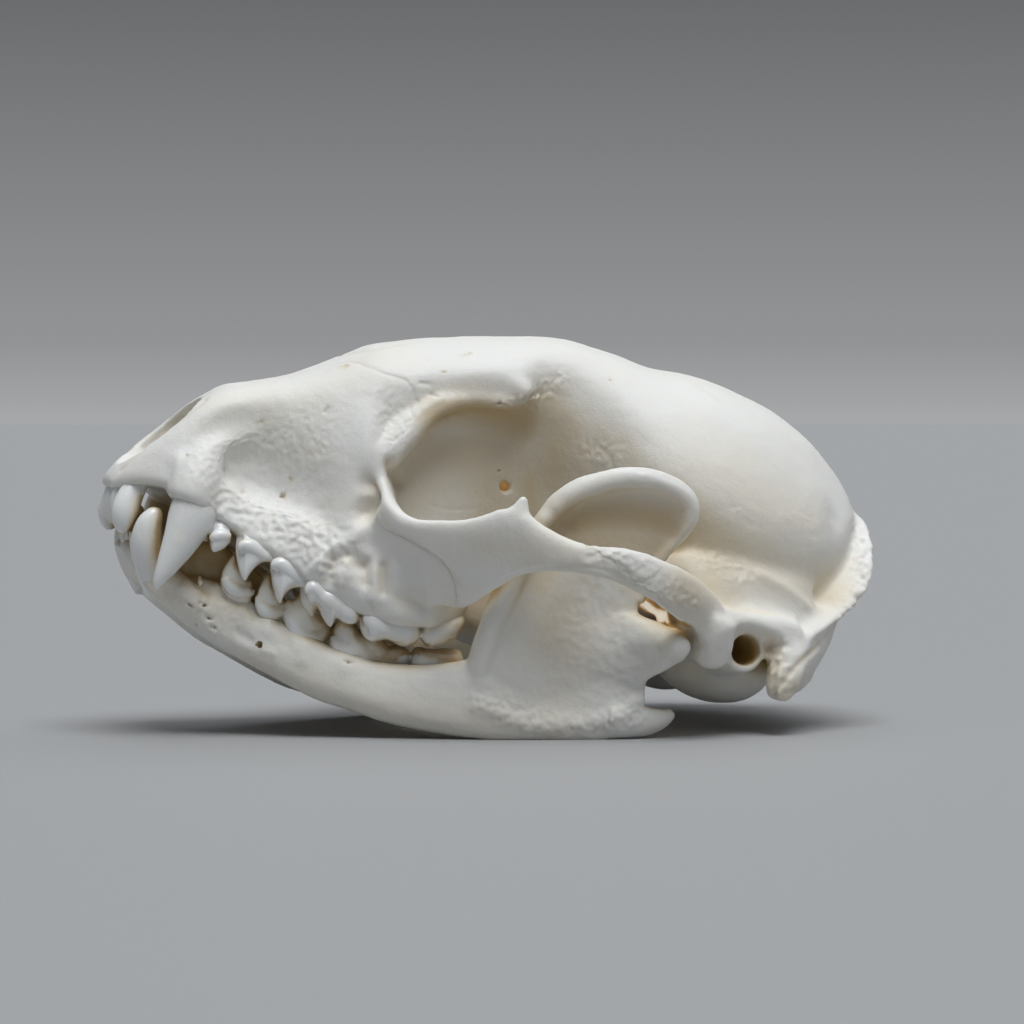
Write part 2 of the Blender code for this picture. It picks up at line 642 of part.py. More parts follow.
# Name, place on the gum line, crown size, cusps as (forward, outward, radius, height)
SINGLE = ((0.1, 0.0, 0.9, 1.0),)
UPPER_BLADE = ((0.16, -0.05, 1.5, 1.0), (-0.3, 0.0, 0.8, 0.6))
LOWER_BLADE = ((0.06, -0.05, 1.4, 1.0), (-0.32, 0.0, 0.8, 0.5))
UPPER_CHEEK = (
    ("premolar_1", (-42.2, -12.8, 29.4), (3.1, 2.3, 2.9), SINGLE),
    ("premolar_2", (-37.6, -13.4, 26.8), (5.0, 2.8, 4.6), UPPER_BLADE),
    ("premolar_3", (-32.6, -14.6, 23.8), (5.2, 3.6, 4.9), UPPER_BLADE),
    ("premolar_4", (-26.6, -15.2, 19.9), (7.2, 6.6, 4.9),
     ((0.3, -0.34, 1.1, 0.72), (0.0, -0.34, 1.5, 1.0), (-0.34, -0.34, 1.1, 0.8),
      (0.0, 0.28, 1.1, 0.62))),
    ("molar_1", (-19.2, -15.8, 17.0), (7.6, 8.4, 4.4),
     ((0.24, -0.34, 1.4, 0.95), (-0.22, -0.34, 1.4, 0.95), (0.14, 0.24, 1.4, 0.62))),
    ("molar_2", (-12.4, -15.8, 16.2), (5.2, 7.4, 4.2),
     ((0.16, -0.32, 1.3, 1.0), (-0.28, -0.3, 1.0, 0.8), (0.05, 0.24, 1.2, 0.58))),
)
LOWER_CHEEK = (
    ("premolar_1", (-47.2, -9.0, 21.2), (2.2, 2.0, 2.2), SINGLE),
    ("premolar_2", (-39.5, -10.2, 20.2), (4.6, 2.6, 5.0), LOWER_BLADE),
    ("premolar_3", (-35.3, -11.0, 17.2), (3.9, 3.0, 5.2), LOWER_BLADE),
    ("premolar_4", (-30.6, -11.6, 13.2), (5.8, 3.6, 6.8), LOWER_BLADE),
    ("molar_1", (-23.2, -13.6, 10.6), (8.6, 5.0, 5.2),
     ((0.3, -0.2, 1.3, 1.0), (0.04, -0.24, 1.3, 0.95), (-0.3, -0.2, 1.3, 0.66),
      (0.05, 0.26, 1.2, 0.75), (-0.3, 0.24, 1.1, 0.6))),
    ("molar_2", (-14.6, -15.8, 9.4), (7.2, 4.8, 3.2),
     ((0.24, -0.22, 1.2, 0.9), (-0.2, -0.22, 1.2, 0.8), (0.2, 0.24, 1.1, 0.8))),
)


def upper_teeth():
    """Teeth of the upper jaw, left side."""
    pieces = []
    for index, (x, y, height) in enumerate(((-55.6, -1.2, 4.4), (-55.2, -3.5, 4.6),
                                            (-54.1, -6.0, 5.0))):
        pieces += peg((x, y, 34.0), (2.3 + 0.45 * index, 2.2 + 0.3 * index, height),
                      -INCISOR_UP)
    pieces += fang(((-44.6, -10.4, 35.0), (-46.3, -11.5, 31.0), (-48.3, -12.4, 26.8),
                    (-50.1, -12.8, 23.2), (-51.0, -12.7, 20.7)), (3.0, 3.1, 2.4, 1.35, 0.35), 0.8)
    for name, place, size, cusps in UPPER_CHEEK:
        pieces += crown(place, size, -TOOTH_UP, cusps)
    return pieces


def lower_teeth():
    """Teeth of the lower jaw, left side."""
    pieces = []
    for index, (x, y, height) in enumerate(((-53.4, -1.0, 3.0), (-53.2, -2.8, 3.2),
                                            (-52.8, -4.8, 3.3))):
        pieces += peg((x, y, 25.6), (1.7 + 0.1 * index, 1.5 + 0.2 * index, height), INCISOR_UP)
    pieces += fang(((-49.6, -5.6, 20.6), (-51.4, -7.2, 23.0), (-52.1, -8.2, 26.2),
                    (-51.4, -8.7, 29.2), (-50.5, -8.7, 31.5)), (2.2, 2.2, 2.0, 1.4, 0.45), 0.85)
    for name, place, size, cusps in LOWER_CHEEK:
        pieces += crown(place, size, LOWER_UP, cusps)
    return pieces


# Outline in side view of the space that the cheek bone fills: its joint with the upper jaw
# downwards, then its joint with the temple bone upwards
FRONT_SUTURE = ((-14.0, 38.0), (-19.0, 36.6), (-22.0, 35.0), (-22.8, 32.0), (-21.2, 29.0),
                (-17.8, 27.0), (-14.8, 25.0), (-12.8, 22.4), (-11.8, 19.0), (-11.6, 14.6))
REAR_SUTURE = ((17.6, 14.6), (14.6, 18.4), (11.0, 21.6), (6.8, 24.7), (3.0, 27.2), (1.4, 30.0),
               (1.0, 38.0))


def cheek_space(margin):
    """Block that holds the left cheek bone, widened all round by margin."""
    outline = [Vector((x, 0.0, z)) for x, z in FRONT_SUTURE + REAR_SUTURE]
    count = len(outline)
    wide = []
    for i, point in enumerate(outline):
        ahead = (outline[(i + 1) % count] - outline[i - 1]).normalized()
        wide.append(point + Vector((-ahead.z, 0.0, ahead.x)) * -margin)
    inner = [p + Vector((0, margin - 17.4 - (36.0 - p.z) * 0.16, 0)) for p in wide]
    return loft([inner, [p + Vector((0, -45.0, 0)) for p in wide]])


# Materials

def bone(name, colour, roughness):
    """Plain bone material."""
    made = bpy.data.materials.new(name)
    made.use_nodes = True
    shader = made.node_tree.nodes["Principled BSDF"]
    shader.inputs["Base Color"].default_value = (*colour, 1.0)
    shader.inputs["Roughness"].default_value = roughness
    return made


UPPER_BONE = bone("cranium_bone", (0.83, 0.79, 0.70), 0.5)
CHEEK_BONE = bone("cheek_bone", (0.85, 0.81, 0.73), 0.48)
JAW_BONE = bone("jaw_bone", (0.82, 0.78, 0.69), 0.5)


def build_upper():
    """Braincase with the upper teeth, and the two cheek bones cut free of it."""
    left = [part() for part in (tooth_bed, canine_bulge, cheek_arch, cheek_spur, eye_rim,
                                brow_process, jaw_socket, ear_bulb, ear_tube, ear_shelf,
                                ear_wall, mastoid, rear_process, neck_joint, wing_bone)]
    middle = [vault(), neck_crest(), occiput(), palate_shelf(), bone_floor()]
    head = joined("cranium", middle + left + [mirrored(piece) for piece in left])
    with_modifier(head, "REMESH", mode="VOXEL", voxel_size=BONE_VOXEL * MM)
    sides = [ear_hollow(), joint_hollow()]
    for hollow in [nose_hollow(), neck_hollow(), throat_hollow()] + sides + \
            [mirrored(piece) for piece in sides]:
        cut(head, to_object("hollow", hollow), solver="MANIFOLD")
    grown(head, CRANIUM_TRIANGLES, 5)
    cleaned(head)
    cheeks = []
    for name, turn in (("zygomatic_left", lambda m: m), ("zygomatic_right", mirrored)):
        cheek = to_object(name, bodies(head)[0])
        with_modifier(cheek, "BOOLEAN", operation="INTERSECT",
                      object=to_object("space", turn(cheek_space(0.0))), solver="EXACT")
        bpy.data.objects.remove(bpy.data.objects["space"], do_unlink=True)
        bodies(cheek)[0].to_mesh(cheek.data)
        cheeks.append(cleaned(cheek))
    for turn in (lambda m: m, mirrored):
        cut(head, to_object("space", turn(cheek_space(GAP))))
    teeth = upper_teeth()
    fused(head, teeth + [mirrored(tooth) for tooth in upper_teeth()])
    return [head] + cheeks


def build_jaw():
    """Both halves of the lower jaw with their teeth, each flat where it rests."""
    half = joined("mandible_left", [jaw_body(), jaw_branch(), jaw_front_ridge(), jaw_neck(),
                                    jaw_knuckle(), jaw_hook()])
    grown(half, JAW_TRIANGLES, 4)
    middle = bmesh.new()
    bmesh.ops.create_cube(middle, size=1.0)
    middle.transform(Matrix.Translation(Vector((0, 20 - GAP / 2, 20)) * MM)
                     @ Matrix.Diagonal((200 * MM, 40 * MM, 120 * MM, 1)))
    cut(half, to_object("middle", middle))
    floor = bmesh.new()
    bmesh.ops.create_cube(floor, size=1.0)
    floor.transform(Matrix.Translation(Vector((0, 0, -10)) * MM)
                    @ Matrix.Diagonal((200 * MM, 120 * MM, 20 * MM, 1)))
    cut(half, to_object("floor", floor))
    fused(half, lower_teeth())
    mesh = bmesh.new()
    mesh.from_mesh(half.data)
    other = to_object("mandible_right", mirrored(mesh))
    mesh.free()
    return [half, other]


upper = build_upper()
lower = build_jaw()
for piece, material in zip(upper + lower, (UPPER_BONE, CHEEK_BONE, CHEEK_BONE, JAW_BONE, JAW_BONE)):
    piece.data.materials.clear()
    piece.data.materials.append(material)

# The origin is the middle of the footprint at the resting level
corners = [v.co for piece in upper + lower for v in piece.data.vertices]
low = Vector([min(c[axis] for c in corners) for axis in range(3)])
high = Vector([max(c[axis] for c in corners) for axis in range(3)])
shift = Matrix.Translation(Vector((-(low.x + high.x) / 2, -(low.y + high.y) / 2, -low.z)))
for piece in upper + lower:
    piece.data.transform(shift)
    print(piece.name, len(piece.data.polygons))
print("size", [round(v, 5) for v in high - low], "shift", [round(v, 5) for v in shift.translation])
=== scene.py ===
# %% [markdown]
# # A raccoon skull, life size
# The skull rests on its lower jaw with its teeth closed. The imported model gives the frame: five
# plain bones in metres, nose towards -X, the left side towards -Y, the table at z = 0. This lesson
# grows finer bones and teeth in the same places, and gives them the finish of cleaned bone.

# %% Load the frame and keep its box
import math

import bmesh
import bpy
import numpy as np
from mathutils import Matrix, Vector, noise
from mathutils.bvhtree import BVHTree
from mathutils.kdtree import KDTree


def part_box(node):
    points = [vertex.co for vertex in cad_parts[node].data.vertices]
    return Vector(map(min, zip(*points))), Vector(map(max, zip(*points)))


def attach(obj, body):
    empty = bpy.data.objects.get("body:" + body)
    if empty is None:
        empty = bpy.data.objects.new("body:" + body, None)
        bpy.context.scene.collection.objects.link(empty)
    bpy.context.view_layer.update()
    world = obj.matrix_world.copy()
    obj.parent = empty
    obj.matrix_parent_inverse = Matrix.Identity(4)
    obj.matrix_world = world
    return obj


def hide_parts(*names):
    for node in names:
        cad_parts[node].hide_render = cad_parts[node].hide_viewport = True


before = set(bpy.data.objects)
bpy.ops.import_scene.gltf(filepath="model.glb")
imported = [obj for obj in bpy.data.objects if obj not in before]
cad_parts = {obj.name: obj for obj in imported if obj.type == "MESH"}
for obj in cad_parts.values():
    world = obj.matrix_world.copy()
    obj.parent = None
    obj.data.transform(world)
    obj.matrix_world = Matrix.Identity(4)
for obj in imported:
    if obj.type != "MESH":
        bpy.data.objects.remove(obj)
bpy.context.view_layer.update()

MM = 0.001

# %% [markdown]
# ## Where the model stands
# The tables below are in millimetres on the animal's own axes, as the part's source has them. The
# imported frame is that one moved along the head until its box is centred, so one number takes a
# table to the frame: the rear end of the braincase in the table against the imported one.

# %% The move from the tables to the frame
REAR_END = 52.83
PLACE = Vector((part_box("cranium")[1].x / MM - REAR_END, 0.0, 0.0))
print("tables move by", round(PLACE.x, 2), "mm along the head")

# %% [markdown]
# ## The camera
# It stands a little in front of the skull's side, half a metre away, barely above the level of the
# eye. Its place comes first because small marks such as sutures and holes in the bone are laid on
# the surface from where the picture shows them.

# %% Camera in front of the left side
EYE_DISTANCE = 520.0
EYE_YAW = math.radians(14.0)
EYE_RISE = math.radians(1.5)
PICTURE = 1024
PIXELS_AT_ONE = 3636.0          # focal length in pixels of the picture
AIM = Vector((2.0, 0.0, 30.4))

eye_back = Vector((-math.sin(EYE_YAW) * math.cos(EYE_RISE),
                   -math.cos(EYE_YAW) * math.cos(EYE_RISE), math.sin(EYE_RISE)))
eye_right = Vector((math.cos(EYE_YAW), -math.sin(EYE_YAW), 0.0))
eye_up = eye_back.cross(eye_right)
eye_at = AIM + eye_back * EYE_DISTANCE

camera = bpy.data.objects.new("camera", bpy.data.cameras.new("camera"))
bpy.context.scene.collection.objects.link(camera)
bpy.context.scene.camera = camera
camera.location = (eye_at + PLACE) * MM
camera.rotation_euler = eye_back.to_track_quat("Z", "Y").to_euler()
camera.data.sensor_width = 36.0
camera.data.lens = PIXELS_AT_ONE * camera.data.sensor_width / PICTURE
camera.data.clip_start = 0.01
print("lens", round(camera.data.lens, 1), "mm")


# %% Rays through the picture
def ray(mark):
    """Direction from the eye through a mark (across, down) on the picture."""
    across = (mark[0] - PICTURE / 2) / PIXELS_AT_ONE
    down = (mark[1] - PICTURE / 2) / PIXELS_AT_ONE
    return (eye_right * across - eye_up * down - eye_back).normalized()


def at_depth(mark, y):
    """Point of the upright plane y that shows at a mark on the picture."""
    towards = ray(mark)
    return eye_at + towards * ((y - eye_at.y) / towards.y)


print("a mark at the middle is", [round(v, 1) for v in at_depth((512, 512), 0.0)])

# %% [markdown]
# ## Curves and lofts
# A bone is a bundle of bars, blades and bulbs that have grown together. Each is lofted: a circle of
# points is extruded from station to station along a smooth curve and moved onto its section there.


# %% Smooth curves
def hermite(before, start, end, after, t):
    """Point at t on the Catmull-Rom curve from start to end."""
    t2, t3 = t * t, t * t * t
    return 0.5 * ((2 * start) + (end - before) * t
                  + (2 * before - 5 * start + 4 * end - after) * t2
                  + (3 * start - before - 3 * end + after) * t3)


def through(points, steps, closed=False):
    """Smooth curve through points, each span cut in so many steps."""
    count = len(points)
    result = []
    for i in range(count if closed else count - 1):
        if closed:
            keys = [points[(i + k) % count] for k in (-1, 0, 1, 2)]
        else:
            keys = [points[min(max(i + k, 0), count - 1)] for k in (-1, 0, 1, 2)]
        result += [hermite(*keys, s / steps) for s in range(steps)]
    if not closed:
        result.append(points[-1])
    return result


# %% Lofts by extrusion
def loft(rings):
    """Closed skin over a row of rings, extruded from one to the next."""
    mesh = bmesh.new()
    made = bmesh.ops.create_circle(mesh, cap_ends=True, radius=1.0, segments=len(rings[0]))
    row = list(made["verts"])
    for vert, point in zip(row, rings[0]):
        vert.co = point * MM
    edges = list(mesh.edges)
    for ring in rings[1:]:
        grown = bmesh.ops.extrude_edge_only(mesh, edges=edges)["geom"]
        fresh = {part for part in grown if isinstance(part, bmesh.types.BMVert)}
        edges = [part for part in grown if isinstance(part, bmesh.types.BMEdge)
                 and part.verts[0] in fresh and part.verts[1] in fresh]
        row = [next(e.other_vert(v) for e in v.link_edges if e.other_vert(v) in fresh)
               for v in row]
        for vert, point in zip(row, ring):
            vert.co = point * MM
    bmesh.ops.holes_fill(mesh, edges=edges, sides=0)
    caps = [face for face in mesh.faces if len(face.verts) > 4]
    bmesh.ops.poke(mesh, faces=caps)
    bmesh.ops.recalc_face_normals(mesh, faces=mesh.faces)
    return mesh


def blade(stations, steps=4, sides=20, fullness=2.4):
    """Flattened bar. Each station is its upper edge, its lower edge and its thickness."""
    tops = through([Vector(s[0]) for s in stations], steps)
    bottoms = through([Vector(s[1]) for s in stations], steps)
    widths = through([Vector((s[2], 0, 0)) for s in stations], steps)
    centres = [(a + b) / 2 for a, b in zip(tops, bottoms)]
    power = 2 / fullness
    rings = []
    for i, centre in enumerate(centres):
        ahead = centres[min(i + 1, len(centres) - 1)] - centres[max(i - 1, 0)]
        tall = (tops[i] - bottoms[i]) / 2
        wide = tall.cross(ahead).normalized() * widths[i].x / 2
        turns = [math.tau * k / sides for k in range(sides)]
        rings.append([centre + tall * math.copysign(abs(math.cos(a)) ** power, math.cos(a))
                      + wide * math.copysign(abs(math.sin(a)) ** power, math.sin(a))
                      for a in turns])
    return loft(rings)


def horn(path, radii, steps=4, sides=16, squash=1.0):
    """Round, tapered bar through a row of points; squash flattens it sideways."""
    points = through([Vector(p) for p in path], steps)
    sizes = through([Vector((r, 0, 0)) for r in radii], steps)
    rings = []
    for i, point in enumerate(points):
        ahead = (points[min(i + 1, len(points) - 1)] - points[max(i - 1, 0)]).normalized()
        across = Vector((1, 0, 0)) if abs(ahead.y) > 0.9 else Vector((0, 1, 0))
        across = (across - ahead * across.dot(ahead)).normalized()
        other = ahead.cross(across)
        radius = sizes[i].x
        rings.append([point + across * radius * squash * math.cos(math.tau * k / sides)
                      + other * radius * math.sin(math.tau * k / sides)
                      for k in range(sides)])
    return loft(rings)


def egg(centre, radii, pitch, yaw):
    """Ellipsoid with its long axis turned by pitch (about Y) and yaw (about Z)."""
    mesh = bmesh.new()
    bmesh.ops.create_uvsphere(mesh, u_segments=28, v_segments=14, radius=1.0)
    place = (Matrix.Translation(Vector(centre) * MM) @ Matrix.Rotation(yaw, 4, "Z")
             @ Matrix.Rotation(pitch, 4, "Y") @ Matrix.Diagonal((*[r * MM for r in radii], 1)))
    bmesh.ops.transform(mesh, matrix=place, verts=mesh.verts)
    return mesh


def mirrored(mesh):
    """The same piece on the other side of the head, its faces still outwards."""
    other = mesh.copy()
    bmesh.ops.scale(other, vec=(1, -1, 1), verts=other.verts)
    bmesh.ops.reverse_faces(other, faces=other.faces)
    return other


print("a blade, a horn and an egg are ready, and so is their mirror image")

# %% [markdown]
# ## Growing pieces together
# Overlapping lofts become one bone in a voxel remesh, which lays an even grid over their outside.
# Hollows are then cut, and a little smoothing melts the pieces into each other like real bone.


# %% Objects, modifiers and the growing step
def to_object(name, mesh):
    """Blender object from a bmesh."""
    data = bpy.data.meshes.new(name)
    mesh.to_mesh(data)
    mesh.free()
    made = bpy.data.objects.new(name, data)
    bpy.context.scene.collection.objects.link(made)
    return made


def joined(name, meshes):
    """One object that holds several closed meshes, overlapping or not."""
    whole = bmesh.new()
    for mesh in meshes:
        data = bpy.data.meshes.new(name)
        mesh.to_mesh(data)
        mesh.free()
        whole.from_mesh(data)
        bpy.data.meshes.remove(data)
    return to_object(name, whole)


def with_modifier(piece, kind, **settings):
    """Apply one modifier to an object."""
    modifier = piece.modifiers.new(kind.lower(), kind)
    for key, value in settings.items():
        setattr(modifier, key, value)
    graph = bpy.context.evaluated_depsgraph_get()
    data = bpy.data.meshes.new_from_object(piece.evaluated_get(graph))
    piece.modifiers.clear()
    old = piece.data
    piece.data = data
    bpy.data.meshes.remove(old)


def cut(piece, cutter, operation="DIFFERENCE"):
    """Take the cutter's volume out of a piece, or keep only that, and remove the cutter."""
    with_modifier(piece, "BOOLEAN", operation=operation, object=cutter, solver="MANIFOLD")
    bpy.data.objects.remove(cutter, do_unlink=True)


def add(piece, other):
    """Put another object's closed surfaces into a piece; the next remesh grows them together."""
    shape = bmesh.new()
    shape.from_mesh(piece.data)
    shape.from_mesh(other.data)
    shape.to_mesh(piece.data)
    shape.free()
    bpy.data.objects.remove(other, do_unlink=True)


def remesh(piece, grain):
    """Even grid of faces, grain millimetres wide, over the outside of a piece."""
    with_modifier(piece, "REMESH", mode="VOXEL", voxel_size=grain * MM)


def soften(piece, rounds):
    """Melt the creases between pieces that grew together."""
    with_modifier(piece, "SMOOTH", factor=0.5, iterations=rounds)


def thinned(piece, triangles):
    """Leave about so many triangles, most of them where the surface bends."""
    with_modifier(piece, "TRIANGULATE")
    ratio = triangles / len(piece.data.polygons)
    if ratio < 1.0:
        with_modifier(piece, "DECIMATE", ratio=ratio)


BONE_GRAIN = 0.3
TOOTH_GRAIN = 0.15
print("bone grain", BONE_GRAIN, "mm, tooth grain", TOOTH_GRAIN, "mm")

# %% [markdown]
# ## The vault
# Muzzle, forehead and braincase are one long shell. Its upright sections are given as place along
# the head, top of the midline, then half breadth and height at the brow, the upper side, the wall
# and the lower edge, and the bottom of the midline.

# %% Upright sections of the head
SECTIONS = (
    (-56.4, 35.6, (2.2, 35.5), (3.9, 35.1), (4.3, 34.7), (3.4, 34.1), 34.0),
    (-54.8, 37.4, (4.4, 37.2), (6.4, 36.2), (6.8, 35.3), (6.0, 34.2), 34.1),
    (-52.0, 39.8, (6.4, 39.4), (8.2, 37.7), (8.8, 36.2), (8.2, 34.8), 34.6),
    (-48.0, 42.9, (7.3, 42.5), (9.6, 40.0), (10.9, 36.6), (10.8, 33.8), 33.7),
    (-44.0, 46.0, (7.6, 45.5), (10.0, 42.0), (11.2, 36.5), (11.6, 30.6), 31.0),
    (-40.0, 48.4, (7.4, 47.2), (10.0, 44.0), (11.1, 36.5), (12.4, 28.4), 29.2),
    (-36.0, 49.0, (7.4, 47.7), (10.2, 44.0), (10.9, 36.0), (13.0, 26.0), 27.4),
    (-31.0, 49.8, (8.0, 48.4), (11.3, 44.6), (12.6, 36.0), (14.8, 23.0), 25.0),
    (-26.0, 51.5, (9.2, 49.7), (13.2, 45.0), (16.0, 36.5), (17.0, 20.0), 22.6),
    (-21.5, 53.2, (10.4, 51.0), (14.4, 46.0), (16.8, 37.5), (17.0, 20.0), 20.4),
    (-18.5, 54.3, (11.0, 51.5), (14.0, 45.6), (12.0, 37.0), (10.5, 22.0), 19.0),
    (-12.0, 55.1, (11.2, 51.6), (13.4, 46.6), (10.2, 38.0), (9.5, 20.0), 16.6),
    (-6.0, 55.4, (11.2, 52.1), (13.8, 47.6), (9.8, 37.0), (8.6, 18.0), 14.2),
    (0.0, 55.5, (10.8, 52.6), (14.0, 47.8), (10.0, 37.0), (7.8, 17.5), 13.0),
    (4.5, 55.6, (9.8, 53.0), (11.6, 46.8), (9.8, 36.0), (7.6, 18.5), 14.5),
    (10.0, 55.0, (10.2, 51.8), (13.4, 44.3), (13.4, 34.0), (8.6, 20.0), 17.2),
    (16.0, 53.3, (11.6, 49.7), (17.8, 42.0), (19.2, 32.0), (11.6, 18.4), 17.0),
    (22.0, 51.0, (12.8, 47.6), (20.6, 39.0), (22.6, 29.5), (15.0, 16.6), 16.0),
    (28.0, 50.0, (13.2, 46.7), (21.6, 37.0), (23.5, 27.5), (17.0, 15.0), 14.5),
    (34.0, 47.9, (12.8, 44.7), (21.2, 35.0), (23.4, 25.8), (17.4, 13.4), 12.6),
    (40.0, 44.9, (11.2, 42.0), (19.0, 33.4), (21.4, 24.8), (16.0, 13.0), 10.8),
    (45.0, 40.9, (9.0, 38.8), (15.4, 32.2), (17.8, 25.6), (12.8, 17.4), 14.4),
    (49.0, 36.1, (6.4, 35.0), (10.8, 31.6), (12.6, 28.2), (9.0, 24.4), 22.8),
    (51.6, 32.0, (2.8, 31.7), (4.6, 30.9), (5.4, 29.4), (4.0, 28.0), 27.4),
)


def vault():
    """Muzzle, forehead and braincase."""
    rows = []
    for place, top, brow, upper, wall, lower, bottom in SECTIONS:
        half = [brow, upper, wall, lower]
        ring = [(0.0, top)] + half + [(0.0, bottom)] + [(-w, h) for w, h in reversed(half)]
        rows.append([Vector((place, -w, h)) for w, h in ring])
    columns = [through(list(column), 4) for column in zip(*rows)]
    rings = [through(list(ring), 6, closed=True) for ring in zip(*columns)]
    return loft(rings)


print("the vault has", len(SECTIONS), "sections")

# %% [markdown]
# ## Face and cheeks
# The upper jaw carries a ridge that holds the cheek teeth. The cheek arch springs from it under the
# eye, swings out and back, and joins the braincase in front of the ear. Its edges are given as an
# upper line, a lower line and a thickness.

# %% Upper jaw ridge and cheek arch
ZYGOMATIC_HALF = 35.0


def tooth_bed():
    """Ridge of the upper jaw that holds the cheek teeth, left side."""
    rows = (  # along the head, margin height, middle of the ridge, its breadth, its height
        (-49.0, 34.0, -9.6, 5.0, 5.0),
        (-45.5, 31.8, -10.4, 5.6, 6.4),
        (-42.0, 29.3, -11.2, 5.0, 6.6),
        (-38.0, 26.6, -12.0, 5.0, 7.0),
        (-33.5, 23.4, -13.0, 6.6, 8.2),
        (-27.0, 18.8, -14.2, 9.4, 9.4),
        (-20.0, 15.3, -15.4, 10.4, 9.4),
        (-14.0, 14.8, -15.8, 9.8, 9.0),
        (-9.6, 16.0, -15.4, 7.0, 7.4),
    )
    return blade([((x + 0.3 * tall, y + 0.6, z + tall), (x, y, z), broad)
                  for x, z, y, broad, tall in rows], fullness=3.2)


def canine_bulge():
    """Swelling of the muzzle over the long root of the upper canine, left side."""
    return horn(((-34.0, -8.6, 43.0), (-40.0, -9.6, 40.4), (-43.6, -10.6, 36.8),
                 (-45.5, -11.3, 33.6), (-46.4, -11.7, 31.9)),
                (1.6, 2.8, 3.6, 3.9, 3.6), squash=0.86)


def cheek_arch():
    """Cheek arch from the upper jaw round to the braincase, left side."""
    out = ZYGOMATIC_HALF
    return blade((
        ((-21.0, -11.0, 41.0), (-20.0, -13.5, 22.0), 6.0),
        ((-21.6, -17.5, 36.6), (-18.6, -18.5, 20.5), 4.2),
        ((-19.6, -23.6, 31.2), (-13.5, -21.4, 18.4), 3.4),
        ((-15.0, -27.6, 30.2), (-9.9, -23.2, 18.0), 3.2),
        ((-10.8, -30.2, 30.6), (-7.5, -27.2, 20.3), 3.0),
        ((-5.8, -32.4, 32.0), (-4.2, -30.6, 22.6), 2.8),
        ((-1.5, -33.6, 29.2), (-0.5, -32.9, 23.2), 2.8),
        ((3.8, 0.3 - out, 27.0), (4.0, 0.8 - out, 22.7), 2.8),
        ((9.0, 0.0 - out, 26.5), (8.5, 0.4 - out, 21.3), 2.8),
        ((14.9, 0.2 - out, 24.7), (13.6, 0.4 - out, 18.4), 3.0),
        ((19.3, 1.4 - out, 22.5), (16.6, 2.0 - out, 16.6), 3.4),
        ((22.6, -31.4, 19.8), (18.8, -30.6, 14.6), 4.6),
        ((24.6, -26.6, 18.0), (20.0, -26.0, 13.6), 6.0),
        ((25.0, -20.0, 19.0), (20.0, -19.0, 14.0), 8.0),
    ), steps=6)


def cheek_spur():
    """Small peak of the cheek bone behind the eye, left side."""
    return horn(((-5.4, -31.9, 29.0), (-4.8, -32.2, 31.6), (-4.3, -32.4, 33.7)),
                (2.3, 1.4, 0.75), squash=0.6)


def eye_rim():
    """Rounded front and upper border of the eye socket, left side."""
    return horn(((-21.7, -16.0, 34.0), (-20.2, -15.4, 37.6), (-17.6, -14.4, 40.6),
                 (-14.8, -13.5, 42.9), (-11.4, -12.9, 45.2), (-6.6, -12.6, 46.2),
                 (-2.2, -13.0, 45.9), (0.8, -13.8, 46.8)),
                (1.6, 2.1, 2.4, 2.4, 2.1, 1.8, 1.7, 1.3), steps=6, sides=20)


def brow_process():
    """Blunt point of the brow behind the eye, left side."""
    return horn(((-3.0, -9.0, 49.2), (-0.8, -12.4, 48.2), (0.9, -14.7, 47.0)), (3.2, 2.4, 1.0))


print("cheeks are", 2 * ZYGOMATIC_HALF, "mm apart")

# %% [markdown]
# ## The rear of the head
# Behind the joint of the jaw come the ear bulb with its tube, the process behind the ear, the two
# knuckles that carried the neck, and a flange where the neck muscles held on.

# %% Ear, neck and the flange
MASTOID_HALF = 28.5
CREST_ROOT = Vector((30.0, 0.0, 26.0))
CREST_DEPTH = 9.0
CREST_THICK = 1.8


def jaw_socket():
    """Ledge over and behind the joint of the lower jaw, left side."""
    return blade((
        ((23.0, -17.0, 19.5), (20.8, -17.0, 9.8), 5.0),
        ((23.2, -24.0, 18.0), (22.4, -24.0, 10.2), 5.0),
        ((23.5, -28.6, 17.5), (23.0, -28.8, 9.4), 5.6),
        ((22.9, -31.4, 17.4), (22.4, -31.0, 10.6), 4.8),
        ((21.6, -33.6, 17.2), (21.2, -33.0, 13.4), 2.8),
    ))


def ear_bulb():
    """Ear bulb under the braincase, left side."""
    return egg((27.5, -13.4, 10.4), (9.2, 6.6, 6.6), pitch=math.radians(20),
               yaw=math.radians(-12))


def ear_tube():
    """Bony tube that leads to the ear opening, left side."""
    return horn(((27.0, -15.0, 11.4), (27.8, -21.0, 11.8), (28.4, -27.2, 11.8)),
                (4.6, 3.8, 3.0), sides=24)


def ear_shelf():
    """Ridge that runs back over the ear opening from the cheek arch, left side."""
    return horn(((20.5, -31.0, 17.0), (24.0, -28.8, 16.4), (28.2, -27.2, 16.0), (32.0, -26.4, 15.2),
                 (36.0, -25.2, 14.0)), (2.0, 1.8, 1.5, 1.7, 2.4), steps=6, sides=20)


def ear_wall():
    """Side wall of the head from the braincase down to the ear, left side."""
    return blade((
        ((15.5, -17.6, 25.4), (17.0, -20.6, 18.6), 3.0),
        ((19.5, -20.8, 25.0), (20.5, -27.6, 15.8), 4.2),
        ((25.0, -21.2, 25.6), (25.0, -26.2, 14.0), 3.8),
        ((30.5, -21.0, 25.4), (31.0, -25.4, 12.4), 3.8),
        ((36.0, -19.8, 24.6), (35.6, -24.6, 11.4), 4.0),
        ((40.5, -17.6, 23.0), (39.0, -23.0, 10.4), 4.2),
    ), fullness=2.2)


